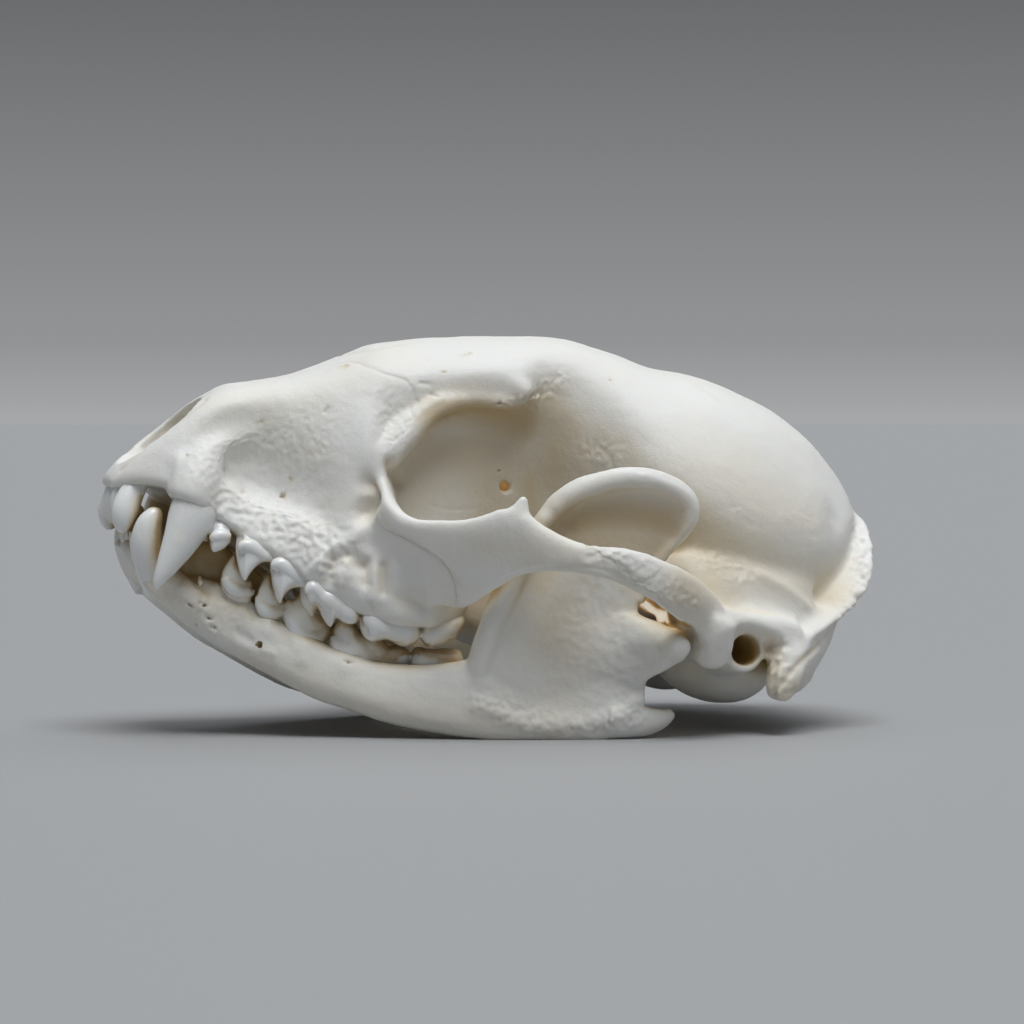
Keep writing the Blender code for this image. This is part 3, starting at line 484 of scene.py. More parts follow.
def mastoid():
    """Process behind the ear opening, left side."""
    half = MASTOID_HALF
    return horn(((36.5, 8.0 - half, 15.0), (35.4, 3.4 - half, 11.6), (34.0, 1.4 - half, 8.0),
                 (32.8, 0.8 - half, 5.0)), (3.4, 3.0, 2.5, 1.7))


def rear_process():
    """Short process beside the neck joint, left side."""
    return horn(((41.0, -18.0, 14.0), (38.6, -19.5, 9.0), (37.4, -19.8, 5.6)), (3.4, 2.4, 1.2))


def neck_joint():
    """Knuckle on which the head turns on the neck, left side."""
    return egg((40.8, -8.4, 9.0), (5.2, 3.4, 4.6), pitch=math.radians(-60),
               yaw=math.radians(24))


def both_halves(left):
    """Stations from the right side over the midline to the left, from those of the left side."""
    right = [((a[0], -a[1], a[2]), (b[0], -b[1], b[2]), thick) for a, b, thick in left[1:]]
    return right[::-1] + list(left)


def neck_crest():
    """Flange along the back of the braincase, from the midline to behind each ear."""
    edge = ((53.4, 0.0, 29.6), (52.9, -5.0, 29.6), (52.7, -9.5, 28.4), (52.0, -14.0, 25.2),
            (50.2, -18.0, 20.8), (46.0, -21.4, 17.0), (41.7, -24.4, 14.6), (37.6, -27.2, 12.8),
            (34.6, 0.2 - MASTOID_HALF, 10.0))
    stations = []
    for point in edge:
        outer = Vector(point)
        inner = outer + (CREST_ROOT - outer).normalized() * CREST_DEPTH
        stations.append((outer, inner, CREST_THICK))
    return blade(both_halves(stations), sides=16, fullness=2.0)


def occiput():
    """Rear wall of the head, from behind one ear to behind the other."""
    return blade(both_halves((
        ((50.6, 0.0, 27.0), (40.2, 0.0, 11.0), 5.0),
        ((50.0, -7.0, 26.0), (40.0, -7.0, 9.4), 5.0),
        ((47.0, -14.0, 21.6), (38.6, -13.6, 8.6), 5.0),
        ((42.8, -20.0, 16.6), (37.2, -18.6, 8.0), 4.8),
        ((38.2, -25.0, 13.0), (35.2, -23.4, 7.6), 4.4),
        ((35.6, 0.9 - MASTOID_HALF, 11.0), (34.4, 2.5 - MASTOID_HALF, 7.4), 3.6),
    )), fullness=3.0)


# %% [markdown]
# ## The underside
# From below, the bony palate ends in a shelf, two upright wings run back from it, and a flat bone
# closes the floor between the ear bulbs.

# %% Palate, wings and floor
def plate(rows):
    """Flat bone over the midline. Rows: along the head, half breadth, height, thickness."""
    return blade([((x, -half, z), (x, half, z), thick) for x, half, z, thick in rows],
                 fullness=3.0)


def palate_shelf():
    """Bony palate behind the last molars."""
    return plate(((-18.0, 9.5, 20.0, 5.0), (-10.0, 8.6, 16.4, 4.4), (-3.0, 7.6, 12.8, 3.4),
                  (3.6, 7.0, 10.4, 2.6)))


def wing_bone():
    """Upright plate that runs back from the palate to a small hook, left side."""
    return blade((
        ((-8.0, -8.0, 22.0), (-8.0, -8.0, 15.0), 3.0),
        ((0.0, -7.6, 20.0), (0.0, -7.4, 11.6), 2.4),
        ((6.0, -7.4, 20.0), (6.0, -6.8, 9.2), 2.0),
        ((11.0, -7.4, 18.5), (11.4, -6.4, 7.4), 1.8),
        ((14.0, -8.0, 18.0), (13.0, -6.4, 8.6), 1.6),
    ))


def bone_floor():
    """Flat bone between the two ear bulbs."""
    return plate(((6.0, 6.0, 19.0, 5.0), (16.0, 7.5, 16.8, 5.0), (28.0, 8.0, 13.4, 5.0),
                  (38.0, 9.0, 10.4, 4.0)))


# %% [markdown]
# ## Hollows of the upper skull
# The nose, the neck opening, the throat, the ear canals and the troughs of the jaw joint are cut
# out as closed shapes of their own. The nose is never empty, so a row of thin upright leaves
# stands in it where the animal has its scrolled bones.


# %% Hollow shapes
def nose_hollow():
    """Nasal opening and the passage behind it."""
    return blade((
        ((-61.0, 0.0, 54.0), (-61.0, 0.0, 40.5), 12.4),
        ((-50.0, 0.0, 49.4), (-50.0, 0.0, 35.8), 13.0),
        ((-42.6, 0.0, 46.4), (-42.6, 0.0, 33.4), 12.6),
        ((-36.0, 0.0, 45.2), (-36.0, 0.0, 31.4), 10.6),
        ((-29.0, 0.0, 43.0), (-29.0, 0.0, 33.0), 7.0),
    ), sides=32, fullness=2.2)


def neck_hollow():
    """Opening for the spinal cord."""
    return horn(((54.0, 0.0, 13.0), (46.0, 0.0, 13.6), (36.0, 0.0, 17.0), (30.0, 0.0, 20.0)),
                (5.6, 5.6, 6.4, 3.0), sides=32, squash=1.2)


def throat_hollow():
    """Rear end of the nasal passage, above the palate."""
    return horn(((14.0, 0.0, 11.0), (6.0, 0.0, 14.0), (-4.0, 0.0, 18.0)), (4.2, 4.0, 2.6),
                sides=24, squash=1.1)


def ear_hollow():
    """Ear canal, left side."""
    return horn(((28.8, -31.0, 11.9), (28.4, -26.0, 11.9), (27.6, -19.0, 11.6)),
                (2.2, 2.15, 1.2), sides=24)


def joint_hollow():
    """Trough in which the knuckle of the lower jaw turns, left side."""
    return horn(((17.2, -36.0, 13.4), (17.2, -29.0, 13.2), (17.4, -16.5, 12.6)),
                (2.8, 3.1, 3.0), sides=24)


# %% Leaves inside the nose
LEAVES_A_SIDE = 3
LEAF_SPACING = 1.75
LEAF_DROP = 0.7
LEAF_THICK = 0.85


def scroll_bones():
    """Thin upright leaves inside the nose, on both sides of the middle one."""
    leaves = []
    for step in range(-LEAVES_A_SIDE, LEAVES_A_SIDE + 1):
        side = LEAF_SPACING * step
        drop = abs(step) * LEAF_DROP
        leaves.append(blade((
            ((-46.0, side * 0.9, 42.6 - drop), (-45.0, side * 0.8, 36.6 + drop), LEAF_THICK),
            ((-43.0, side * 1.05, 44.2 - drop), (-42.6, side * 0.9, 34.4 + drop), LEAF_THICK),
            ((-39.5, side, 45.0 - drop), (-39.0, side * 0.95, 33.0 + drop), LEAF_THICK),
            ((-35.0, side * 0.8, 45.0 - drop), (-35.0, side * 0.8, 32.0 + drop), LEAF_THICK),
        ), fullness=3.0))
    return leaves


print("the nose holds", 2 * LEAVES_A_SIDE + 1, "leaves")

# %% Grow the head
FIRST_GRAIN = 0.5
FIRST_ROUNDS = 5
HEAD_ROUNDS = 16
left_pieces = [part() for part in (tooth_bed, canine_bulge, cheek_arch, cheek_spur, eye_rim,
                                   brow_process, jaw_socket, ear_bulb, ear_tube, ear_shelf,
                                   ear_wall, mastoid, rear_process, neck_joint, wing_bone)]
middle_pieces = [vault(), neck_crest(), occiput(), palate_shelf(), bone_floor()]
head = joined("head", middle_pieces + left_pieces + [mirrored(piece) for piece in left_pieces])
remesh(head, FIRST_GRAIN)
soften(head, FIRST_ROUNDS)
side_hollows = [ear_hollow(), joint_hollow()]
for hollow in ([nose_hollow(), neck_hollow(), throat_hollow()] + side_hollows
               + [mirrored(piece) for piece in side_hollows]):
    cut(head, to_object("hollow", hollow))
add(head, joined("scroll_bones", scroll_bones()))
remesh(head, BONE_GRAIN)
soften(head, HEAD_ROUNDS)
print("head has", len(head.data.polygons), "faces")

# %% [markdown]
# ## The lower jaw
# Each half is a bar that carries the teeth, a tall rising branch for the chewing muscles, a
# crosswise knuckle and a hook at the rear angle. The halves meet at the chin with a fine gap.

# %% Lower jaw, left half
JAW_HALF = 26.0
JAW_ROWS = (  # along the head, upper margin, lower margin, middle above, middle below, thickness
    (-53.4, 27.0, 25.8, -1.6, -1.0, 4.4),
    (-51.9, 25.6, 23.6, -2.8, -2.0, 7.6),
    (-49.4, 22.2, 20.4, -4.2, -3.2, 10.4),
    (-45.5, 20.8, 16.3, -5.0, -4.2, 11.2),
    (-40.5, 19.9, 12.2, -6.2, -5.8, 10.8),
    (-35.0, 16.6, 9.0, -9.4, -9.3, 8.2),
    (-29.5, 13.4, 5.8, -12.4, -12.8, 7.0),
    (-23.5, 10.8, 3.6, -14.4, -15.4, 6.8),
    (-17.5, 9.9, 1.7, -16.4, -18.0, 6.6),
    (-11.5, 10.4, 0.4, -18.8, -20.4, 6.0),
    (-6.0, 12.0, -0.3, -21.6, -22.8, 4.6),
    (1.0, 12.0, -0.4, -23.8, -24.6, 3.8),
    (8.0, 10.0, -0.5, 0.6 - JAW_HALF, 0.2 - JAW_HALF, 3.4),
    (13.5, 8.0, 0.5, -JAW_HALF, -JAW_HALF - 0.2, 2.8),
)


def jaw_body():
    """Tooth-bearing bar of the lower jaw."""
    return blade([((x + 1.0, high_y, high), (x - 1.0, low_y, low), thick)
                  for x, high, low, high_y, low_y, thick in JAW_ROWS], fullness=2.8)


def jaw_gum():
    """Raised bone round the roots of the front cheek teeth and of the canine, left side."""
    return (horn(((-49.2, -6.2, 20.9), (-46.6, -6.8, 20.5), (-44.0, -7.6, 20.5),
                  (-41.4, -8.6, 19.6), (-38.8, -9.3, 18.0), (-35.8, -10.2, 16.2)),
                 (1.2, 1.5, 1.5, 1.4, 1.3, 1.0)),
            horn(((-50.4, -7.2, 23.2), (-48.6, -7.9, 21.4), (-45.8, -8.7, 18.8),
                  (-42.2, -9.0, 16.6)), (2.0, 2.1, 2.2, 1.8)))


def jaw_inner_crest():
    """Crest along the inner side of the front teeth."""
    return blade((
        ((-51.2, -3.6, 26.4), (-50.8, -3.4, 20.0), 2.0),
        ((-48.0, -4.4, 27.2), (-48.0, -4.2, 18.0), 2.6),
        ((-45.0, -5.2, 27.2), (-45.0, -5.0, 17.0), 2.6),
        ((-42.0, -6.0, 26.6), (-42.0, -5.8, 15.0), 2.4),
        ((-39.0, -7.0, 25.0), (-39.0, -6.8, 14.0), 2.2),
        ((-36.0, -8.2, 22.4), (-36.0, -8.2, 12.0), 2.0),
        ((-32.5, -10.0, 18.6), (-32.5, -10.2, 10.0), 1.8),
        ((-29.0, -11.8, 14.0), (-29.0, -12.0, 8.0), 1.6),
    ))


def jaw_branch():
    """Rising branch of the lower jaw with its tall rear lobe."""
    return blade((
        ((-8.6, -21.4, 13.4), (-5.0, -22.4, 2.0), 3.6),
        ((-5.6, -23.6, 18.4), (1.0, -24.6, 2.0), 3.4),
        ((-3.0, -25.2, 24.4), (8.4, -25.8, 5.0), 3.0),
        ((0.8, -26.4, 30.8), (12.8, -26.2, 13.0), 2.4),
        ((6.6, -27.2, 35.4), (13.6, -26.4, 19.6), 1.8),
        ((13.0, -27.8, 36.4), (15.6, -27.0, 25.0), 1.5),
        ((18.2, -28.2, 35.0), (18.4, -27.6, 28.0), 1.4),
        ((20.6, -28.3, 32.8), (20.0, -28.0, 30.6), 1.2),
    ), steps=6)


def jaw_front_ridge():
    """Thick front border of the rising branch."""
    return horn(((-9.0, -20.6, 5.0), (-7.4, -22.0, 11.0), (-5.6, -23.8, 17.4),
                 (-3.4, -25.2, 23.0), (-1.0, -26.2, 28.0), (3.0, -27.3, 32.8),
                 (8.6, -28.0, 35.4), (14.4, -28.5, 35.6), (18.6, -28.6, 33.8),
                 (20.2, -28.5, 31.4), (19.2, -28.2, 28.4), (16.9, -27.7, 25.6),
                 (14.8, -27.0, 22.2), (13.4, -26.5, 18.6)),
                (1.6, 2.2, 2.2, 1.9, 1.7, 1.6, 1.5, 1.4, 1.3, 1.2, 1.0, 0.8, 0.7, 0.7), steps=6)


def jaw_neck():
    """Stem that carries the knuckle."""
    return blade((
        ((6.0, -25.8, 18.0), (6.0, -25.6, 6.6), 3.0),
        ((10.6, -26.6, 18.0), (11.2, -JAW_HALF, 6.2), 3.4),
        ((14.4, -27.2, 16.6), (14.4, -26.8, 8.0), 4.2),
        ((17.4, -27.6, 15.3), (17.2, -27.4, 9.6), 4.8),
        ((19.4, -27.6, 14.2), (19.2, -27.4, 11.2), 4.2),
    ))


def jaw_knuckle():
    """Crosswise knuckle of the jaw joint."""
    return horn(((17.8, -17.8, 12.2), (17.8, -20.5, 12.4), (17.6, -26.0, 12.6),
                 (17.6, -30.0, 12.9), (17.6, -32.0, 13.0)), (1.3, 2.3, 2.6, 2.1, 1.1), sides=20)


def jaw_hook():
    """Hook at the rear angle of the jaw."""
    return horn(((9.0, -JAW_HALF, 2.6), (13.6, -JAW_HALF - 0.2, 2.3), (16.8, -JAW_HALF, 2.6),
                 (18.4, 0.6 - JAW_HALF, 3.4)), (2.8, 2.2, 1.4, 0.8), squash=0.8)


# %% Grow the left half of the jaw
JAW_ROUNDS = 10
jaw = joined("jaw", [jaw_body(), *jaw_gum(), jaw_inner_crest(), jaw_branch(),
                     jaw_front_ridge(), jaw_neck(), jaw_knuckle(), jaw_hook()])
remesh(jaw, BONE_GRAIN)
soften(jaw, JAW_ROUNDS)
print("jaw has", len(jaw.data.polygons), "faces")

# %% [markdown]
# ## Brushes
# The finest forms are pressed into the dense skin like marks in clay. A brush follows a line drawn
# over the picture: rays lay the line on the bone, and every point of the skin near it moves in or
# out. Other brushes prick a small hole, roughen a patch, stain it or paint shade on it, and paint a
# glow where light would come through. On the head, each mark is laid on the other side too.


# %% The clay and its brushes
MARK_STEPS = 12
TRAIL_STEP = 0.15
TRAIL_JUMP = 4.0                # a longer step has left the bone for one behind it
LEAST_SHARE = 0.05
BATCH = 64


class Clay:
    """The skin of one bone: places in millimetres, ways out, pushes, stains with painted shade, and
    painted glow.
    """

    def __init__(self, piece, both_sides):
        self.mesh = piece.data
        self.both_sides = both_sides
        count = len(self.mesh.vertices)
        self.at = np.empty(count * 3, np.float32)
        self.mesh.vertices.foreach_get("co", self.at)
        self.at = self.at.reshape(-1, 3).astype(float) / MM
        self.out = np.empty(count * 3, np.float32)
        self.mesh.vertex_normals.foreach_get("vector", self.out)
        self.out = self.out.reshape(-1, 3).astype(float)
        self.push = np.zeros(count)
        self.stain = np.zeros(count)
        self.glow = np.zeros(count)
        shape = bmesh.new()
        shape.from_mesh(self.mesh)
        self.tree = BVHTree.FromBMesh(shape)
        shape.free()

    def landing(self, mark):
        """Where the ray through a mark meets the bone, and the outward direction there."""
        spot, out, _, _ = self.tree.ray_cast(eye_at * MM, ray(mark))
        return None if spot is None else (spot / MM, out)

    def trail(self, marks):
        """A line over the picture, or a single mark, laid on the bone in small steps."""
        line = through([Vector((*mark, 0)) for mark in marks], MARK_STEPS)
        landed = [spot for spot in (self.landing(point) for point in line) if spot]
        places, outs = [], []
        for (a, out_a), (b, out_b) in zip(landed, landed[1:]):
            span = (b - a).length
            if span > TRAIL_JUMP:
                continue
            steps = max(1, int(span / TRAIL_STEP))
            for k in range(steps):
                places.append(a.lerp(b, k / steps))
                outs.append(out_a.lerp(out_b, k / steps))
        if not places:
            places, outs = [landed[0][0]], [landed[0][1]]
        return np.array(places), np.array(outs)

    def near(self, places, outs, reach):
        """Points of the skin within reach of a trail: index, distance and share of facing."""
        low, high = places.min(0) - reach, places.max(0) + reach
        index = np.nonzero(np.all((self.at > low) & (self.at < high), axis=1))[0]
        away = np.full(len(index), 1e9)
        nearest = np.zeros(len(index), int)
        for first in range(0, len(places), BATCH):
            some = places[first:first + BATCH]
            gaps = np.linalg.norm(self.at[index][:, None] - some[None], axis=2)
            best = gaps.argmin(1)
            least = gaps[np.arange(len(index)), best]
            closer = least < away
            away[closer] = least[closer]
            nearest[closer] = best[closer] + first
        facing = np.clip((self.out[index] * outs[nearest]).sum(1) * 2.0, 0.0, 1.0)
        return index, away, facing

    def footprint(self, marks, reach):
        """Skin near some marks, once for each side: index, distance and share of facing."""
        places, outs = self.trail(marks)
        for side in ((1, -1) if self.both_sides else (1,)):
            turn = np.array([1, side, 1])
            yield self.near(places * turn, outs * turn, reach)

    def stroke(self, marks, width, depth, stain):
        """Press a line this wide and deep into the bone; a negative depth raises it."""
        for index, away, facing in self.footprint(marks, width * 2.5):
            weight = np.exp(-(away / width) ** 2) * facing
            self.push[index] -= depth * weight
            # The stain is a real dark joint along a suture, and painted shade in grooves, holes and
            # along shade lines.
            self.stain[index] = np.maximum(self.stain[index], stain * weight)

    def pit(self, marks, radius, depth, stain):
        """Small hole with steep sides."""
        for index, away, facing in self.footprint(marks, radius * 2.0):
            weight = np.clip((radius * 1.2 - away) / (radius * 0.4), 0.0, 1.0) * (facing > 0)
            self.push[index] -= depth * weight
            # The stain of a pit is painted shade in the hole.
            self.stain[index] = np.maximum(self.stain[index], stain * weight)

    def light(self, marks, width, glow):
        """Painted glow along a line, standing for light through thin bone and for lit bone in a
        gap.
        """
        for index, away, facing in self.footprint(marks, width * 2.5):
            weight = np.exp(-(away / width) ** 4) * (facing > 0)
            self.glow[index] = np.maximum(self.glow[index], glow * weight)

    def rough(self, marks, width, size, height):
        """Uneven patch along a line: lumps of this size and height."""
        for index, away, facing in self.footprint(marks, width * 2.0):
            weight = np.exp(-(away / width) ** 2) * facing
            for i, share in zip(index, weight):
                if share > LEAST_SHARE:
                    self.push[i] += height * share * noise.noise(Vector(self.at[i]) / size)

    def uneven(self, size, height):
        """Gentle unevenness all over."""
        self.push += height * np.array([noise.noise(Vector(spot) / size) for spot in self.at])

    def settle(self):
        """Move the skin by all the pushes."""
        self.at = self.at + self.out * self.push[:, None]
        self.mesh.vertices.foreach_set("co", (self.at * MM).astype(np.float32).ravel())
        self.mesh.update()


# %% Working all the marks of a bone
UNEVEN = ((6.0, 0.14), (1.6, 0.05))    # size of the lumps, their height


def worked(clay, strokes, pits, shade_tints, painted_glows, patches):
    """Press the marks of one bone into its clay, then move its skin."""
    for row in strokes:
        clay.stroke(*row)
    for mark, radius, depth, stain in pits:
        clay.pit((mark,), radius, depth, stain)
    # Painted shade along lines, without a push.
    for marks, width, stain in shade_tints:
        clay.stroke(marks, width, 0.0, stain)
    # Painted glow along lines.
    for row in painted_glows:
        clay.light(*row)
    for row in patches:
        clay.rough(*row)
    for row in UNEVEN:
        clay.uneven(*row)
    clay.settle()
    return clay


# %% Marks on the head
# In the stain column, the sutures get real dark joints, and the grooves and the holes for nerves
# and vessels get painted shade.
HEAD_STROKES = (  # line over the picture, width, depth, stain
    # hollows and swellings of the face
    (((238, 436), (240, 460), (250, 488)), 4.4, 1.5, 0.0),
    (((300, 500), (330, 505)), 5.0, 0.5, 0.0),
    (((250, 462), (262, 484), (280, 508)), 5.5, 0.85, 0.0),
    (((375, 448), (392, 415), (415, 390)), 2.4, -0.25, 0.0),
    (((505, 578), (530, 570), (565, 567), (600, 570), (636, 586)), 0.35, 0.2, 0.0),
    (((590, 556), (612, 570), (634, 588), (656, 604)), 0.9, 0.25, 0.0),
    (((321, 566), (341, 546), (364, 529), (377, 514)), 1.1, -0.45, 0.0),
    (((336, 560), (350, 556), (361, 566)), 1.1, 0.8, 0.15),
    (((398, 598), (420, 606)), 1.0, 0.4, 0.1),
    (((370, 482), (371, 497), (366, 512)), 1.5, 1.7, 0.3),
    (((390, 464), (393, 474), (400, 484)), 1.0, 0.8, 0.3),
    (((440, 430), (470, 428), (500, 432)), 5.0, 0.9, 0.0),
    (((374, 570), (374, 600)), 0.9, -0.5, 0.0),
    (((345, 560), (342, 580)), 1.2, -0.5, 0.0),
    (((395, 575), (396, 600), (398, 612)), 1.5, -0.6, 0.0),
    (((318, 556), (314, 572)), 1.1, -0.35, 0.0),
    (((366, 563), (366, 584)), 0.8, 0.7, 0.2),
    (((383, 568), (384, 592)), 0.8, 0.6, 0.2),
    (((332, 560), (330, 578)), 0.8, 0.4, 0.15),
    (((430, 590), (431, 612)), 1.2, -0.4, 0.0),
    (((212, 526), (235, 536), (257, 541), (275, 552), (292, 562), (311, 579), (332, 593),
      (355, 608), (380, 616), (405, 621), (432, 624)), 1.0, -0.45, 0.0),
    # sutures
    (((330, 366), (350, 362), (370, 368), (385, 374), (405, 380), (409, 385), (413, 390),
      (414, 398), (418, 402), (410, 410), (413, 418), (404, 424), (406, 430), (400, 436),
      (392, 442)), 0.2, 0.16, 0.06),
    (((376, 480), (377, 498), (380, 514), (395, 533), (420, 548), (444, 566), (458, 584)),
     0.3, 0.12, 0.1),
    (((410, 450), (418, 480), (427, 492)), 0.2, 0.12, 0.05),
    (((430, 505), (450, 510), (480, 508)), 0.2, 0.12, 0.05),
    (((235, 383), (280, 372), (330, 358), (400, 345)), 0.4, 0.12, 0.15),
    (((205, 400), (170, 428), (140, 452), (120, 470)), 0.5, 0.25, 0.15),
    (((690, 380), (720, 400)), 0.22, 0.08, 0.1),
    (((583, 541), (600, 553), (620, 565), (640, 580), (656, 590), (672, 610)), 0.35, 0.12, 0.2),
    # holes for nerves and vessels
    (((325, 412), (328, 407)), 0.2, 0.3, 0.15),
    (((420, 383), (430, 384)), 0.25, 0.25, 0.1),
    (((430, 394), (438, 396)), 0.25, 0.25, 0.1),
    (((463, 356), (470, 353)), 0.2, 0.2, 0.3),
    (((262, 420),), 0.2, 0.3, 0.5),
    (((610, 380),), 0.2, 0.2, 0.4),
    # rear of the head
    (((760, 575), (785, 588), (810, 606)), 0.9, -0.35, 0.0),
    (((740, 600), (770, 600), (800, 620)), 1.8, 0.4, 0.0),
    (((820, 645), (795, 668), (772, 697)), 0.5, 0.35, 0.35),
    (((728, 628), (745, 622), (765, 626), (785, 640)), 1.0, -0.4, 0.0),
    (((700, 600), (712, 625), (712, 645)), 1.6, -0.3, 0.0),
    (((836, 520), (832, 560), (815, 600)), 2.4, 0.5, 0.0),
)
# The stain of a pit is painted shade in the hole.
HEAD_PITS = (  # place on the picture, radius, depth, stain
    ((505, 487), 0.72, 1.2, 0.9),
    ((499, 471), 0.2, 0.3, 0.7),
    ((282, 491), 0.26, 0.5, 0.5),
    ((250, 482), 0.18, 0.25, 0.15),
    ((237, 470), 0.16, 0.2, 0.1),
    ((186, 455), 0.2, 0.3, 0.12),
    ((345, 366), 0.18, 0.25, 0.4),
    ((288, 478), 0.16, 0.2, 0.4),
    ((500, 404), 0.3, 0.5, 0.6),
    ((443, 372), 0.16, 0.2, 0.4),
    ((390, 407), 0.16, 0.2, 0.3),
)
# Warm painted shade under and behind the brow, in the eye socket, low on the braincase, under the
# cheek arch and by the ear.
HEAD_SHADE_TINTS = (  # line over the picture, width, stain: warm painted shade, partly the warm tone of thin bone
    (((440, 418), (470, 412), (500, 418), (530, 420)), 3.4, 0.75),
    (((420, 450), (460, 460), (500, 450)), 6.0, 0.22),
    (((545, 415), (558, 440), (550, 480)), 4.2, 0.5),
    (((580, 440), (630, 450)), 4.0, 0.12),
    (((690, 520), (720, 560), (690, 590)), 5.0, 0.4),
    (((740, 560), (790, 575), (825, 590)), 5.0, 0.3),
    (((700, 470), (760, 500), (800, 520)), 7.0, 0.18),
    (((480, 545), (540, 552), (600, 570), (660, 595)), 2.4, 0.16),
    (((768, 655), (778, 690), (795, 690)), 2.4, 0.3),
)
# Painted glow: amber at a hole in the eye socket and at the jaw joint, where light would come
# through thin bone, and pale for lit bone in the gap under the cheek arch.
HEAD_GLOWS = (  # line over the picture, width, strength: amber where weak, pale where strong
    (((505, 487),), 0.62, 0.4),
    (((668, 624), (680, 632), (688, 642)), 0.7, 0.4),
    (((644, 603), (655, 612), (666, 618)), 1.3, 1.0),
)
HEAD_PATCHES = (  # line over the picture, width, size of the lumps, their height
    (((240, 500), (290, 530), (330, 560)), 4.5, 0.8, 0.35),
    (((215, 460), (260, 450), (310, 440)), 5.0, 0.7, 0.16),
    (((535, 395), (560, 380)), 1.6, 0.6, 0.27),
    (((535, 400), (505, 404)), 1.2, 0.6, 0.3),
    (((590, 450), (615, 460)), 2.2, 0.7, 0.16),
    (((700, 560), (740, 572)), 2.4, 0.7, 0.2),
    (((735, 505), (755, 520)), 1.6, 0.6, 0.1),
    (((800, 520), (815, 530)), 2.0, 0.8, 0.1),
    (((855, 530), (864, 560), (858, 595), (835, 625)), 1.6, 0.9, 0.4),
    (((775, 655), (780, 690), (800, 690)), 2.2, 1.0, 0.4),
    (((600, 552), (650, 575), (690, 605)), 1.8, 0.6, 0.26),
    (((400, 440), (385, 420), (395, 400)), 2.6, 0.5, 0.14),
)
head_clay = worked(Clay(head, both_sides=True), HEAD_STROKES, HEAD_PITS, HEAD_SHADE_TINTS,
                   HEAD_GLOWS, HEAD_PATCHES)
print("the head has", len(HEAD_STROKES), "strokes and", len(HEAD_PITS), "pits")

# %% Marks on the lower jaw
# Their stain is painted shade in the small holes and grooves of the jaw.
JAW_STROKES = (  # the columns are those of the head's tables
    (((238, 632), (250, 640)), 0.7, 0.35, 0.0),
    (((264, 650), (274, 654)), 0.6, -0.2, 0.0),
    (((186, 603), (192, 607)), 0.24, 0.35, 0.15),
    (((200, 603), (207, 607)), 0.24, 0.35, 0.15),
    (((206, 617), (212, 620)), 0.22, 0.3, 0.12),
    (((210, 626), (216, 629)), 0.22, 0.3, 0.12),
    (((176, 596), (181, 599)), 0.2, 0.25, 0.1),
    (((345, 662), (352, 663)), 0.22, 0.35, 0.2),
    (((590, 615), (565, 650), (560, 685)), 5.5, 1.0, 0.0),
    (((545, 522), (515, 580), (495, 620), (480, 680)), 1.3, -0.5, 0.0),
    (((560, 530), (535, 585), (515, 630)), 2.0, 0.45, 0.0),
    (((478, 703), (520, 722), (560, 725), (600, 720), (640, 702)), 1.2, -0.45, 0.0),
    (((640, 640), (665, 645), (685, 647)), 1.6, -0.3, 0.0),
    (((556, 500), (578, 488), (610, 483), (650, 487), (680, 502), (688, 522)), 2.3, -0.45, 0.0),
    (((575, 535), (620, 522), (665, 532)), 3.4, 0.5, 0.0),
    (((245, 598), (243, 612)), 0.9, -0.3, 0.0),
    (((270, 618), (268, 632)), 0.9, -0.3, 0.0),
    (((305, 645), (303, 660)), 1.0, -0.3, 0.0),
    (((287, 632), (286, 645)), 0.7, 0.25, 0.1),
    (((257, 608), (256, 620)), 0.6, 0.25, 0.1),
    (((345, 658), (344, 670)), 1.0, -0.25, 0.0),
)
# The stain of each pit is painted shade in the hole.
JAW_PITS = (
    ((259, 645), 0.42, 1.2, 1.0),
    ((190, 606), 0.22, 0.5, 0.5),
    ((205, 605), 0.22, 0.5, 0.5),
    ((209, 618), 0.2, 0.4, 0.4),
    ((214, 627), 0.18, 0.3, 0.4),
    ((196, 625), 0.18, 0.3, 0.4),
    ((348, 662), 0.2, 0.3, 0.4),
)
# Warm painted shade inside the lobe of the rising branch, in the mouth behind the canine and along
# the lower edge of the jaw.
JAW_SHADE_TINTS = (
    (((575, 522), (620, 516), (665, 522)), 3.0, 0.75),
    (((560, 545), (620, 540), (660, 545)), 3.0, 0.5),
    (((545, 600), (560, 640)), 5.0, 0.3),
    (((150, 590), (200, 600), (240, 620)), 3.0, 0.14),
    (((250, 665), (330, 695), (430, 720), (560, 725)), 4.0, 0.16),
)
JAW_PATCHES = (
    (((170, 590), (230, 620)), 3.0, 0.7, 0.16),
    (((600, 610), (620, 690)), 6.0, 0.9, 0.12),
    (((480, 700), (560, 728), (640, 715)), 1.6, 0.8, 0.3),
)
jaw_clay = worked(Clay(jaw, both_sides=False), JAW_STROKES, JAW_PITS, JAW_SHADE_TINTS, (), JAW_PATCHES)
print("the jaw has", len(JAW_STROKES), "strokes and", len(JAW_PITS), "pits")

# %% [markdown]
# ## Parting the cheek bones
# The cheek bone is a bone of its own. It meets the upper jaw in front and the braincase behind in
# sutures, so a block with the outline of those sutures parts it from the head, and the rear suture
# zigzags as it does on the animal.

# %% Sutures of the cheek bone
SUTURE_GAP = 0.035
CHEEK_INNER = 17.4              # how far out the block starts, at CHEEK_LEVEL
CHEEK_LEVEL = 36.0
CHEEK_SLOPE = 0.16
CHEEK_OUTER = 45.0
FRONT_SUTURE = ((-14.0, 38.0), (-19.0, 36.6), (-22.0, 35.0), (-22.8, 32.0), (-21.2, 29.0),
                (-17.8, 27.0), (-14.8, 25.0), (-12.8, 22.4), (-11.8, 19.0), (-11.6, 14.6))
REAR_SUTURE = ((17.6, 14.6), (14.6, 18.4), (11.0, 21.6), (6.8, 24.7), (3.0, 27.2), (1.4, 30.0),
               (1.0, 38.0))


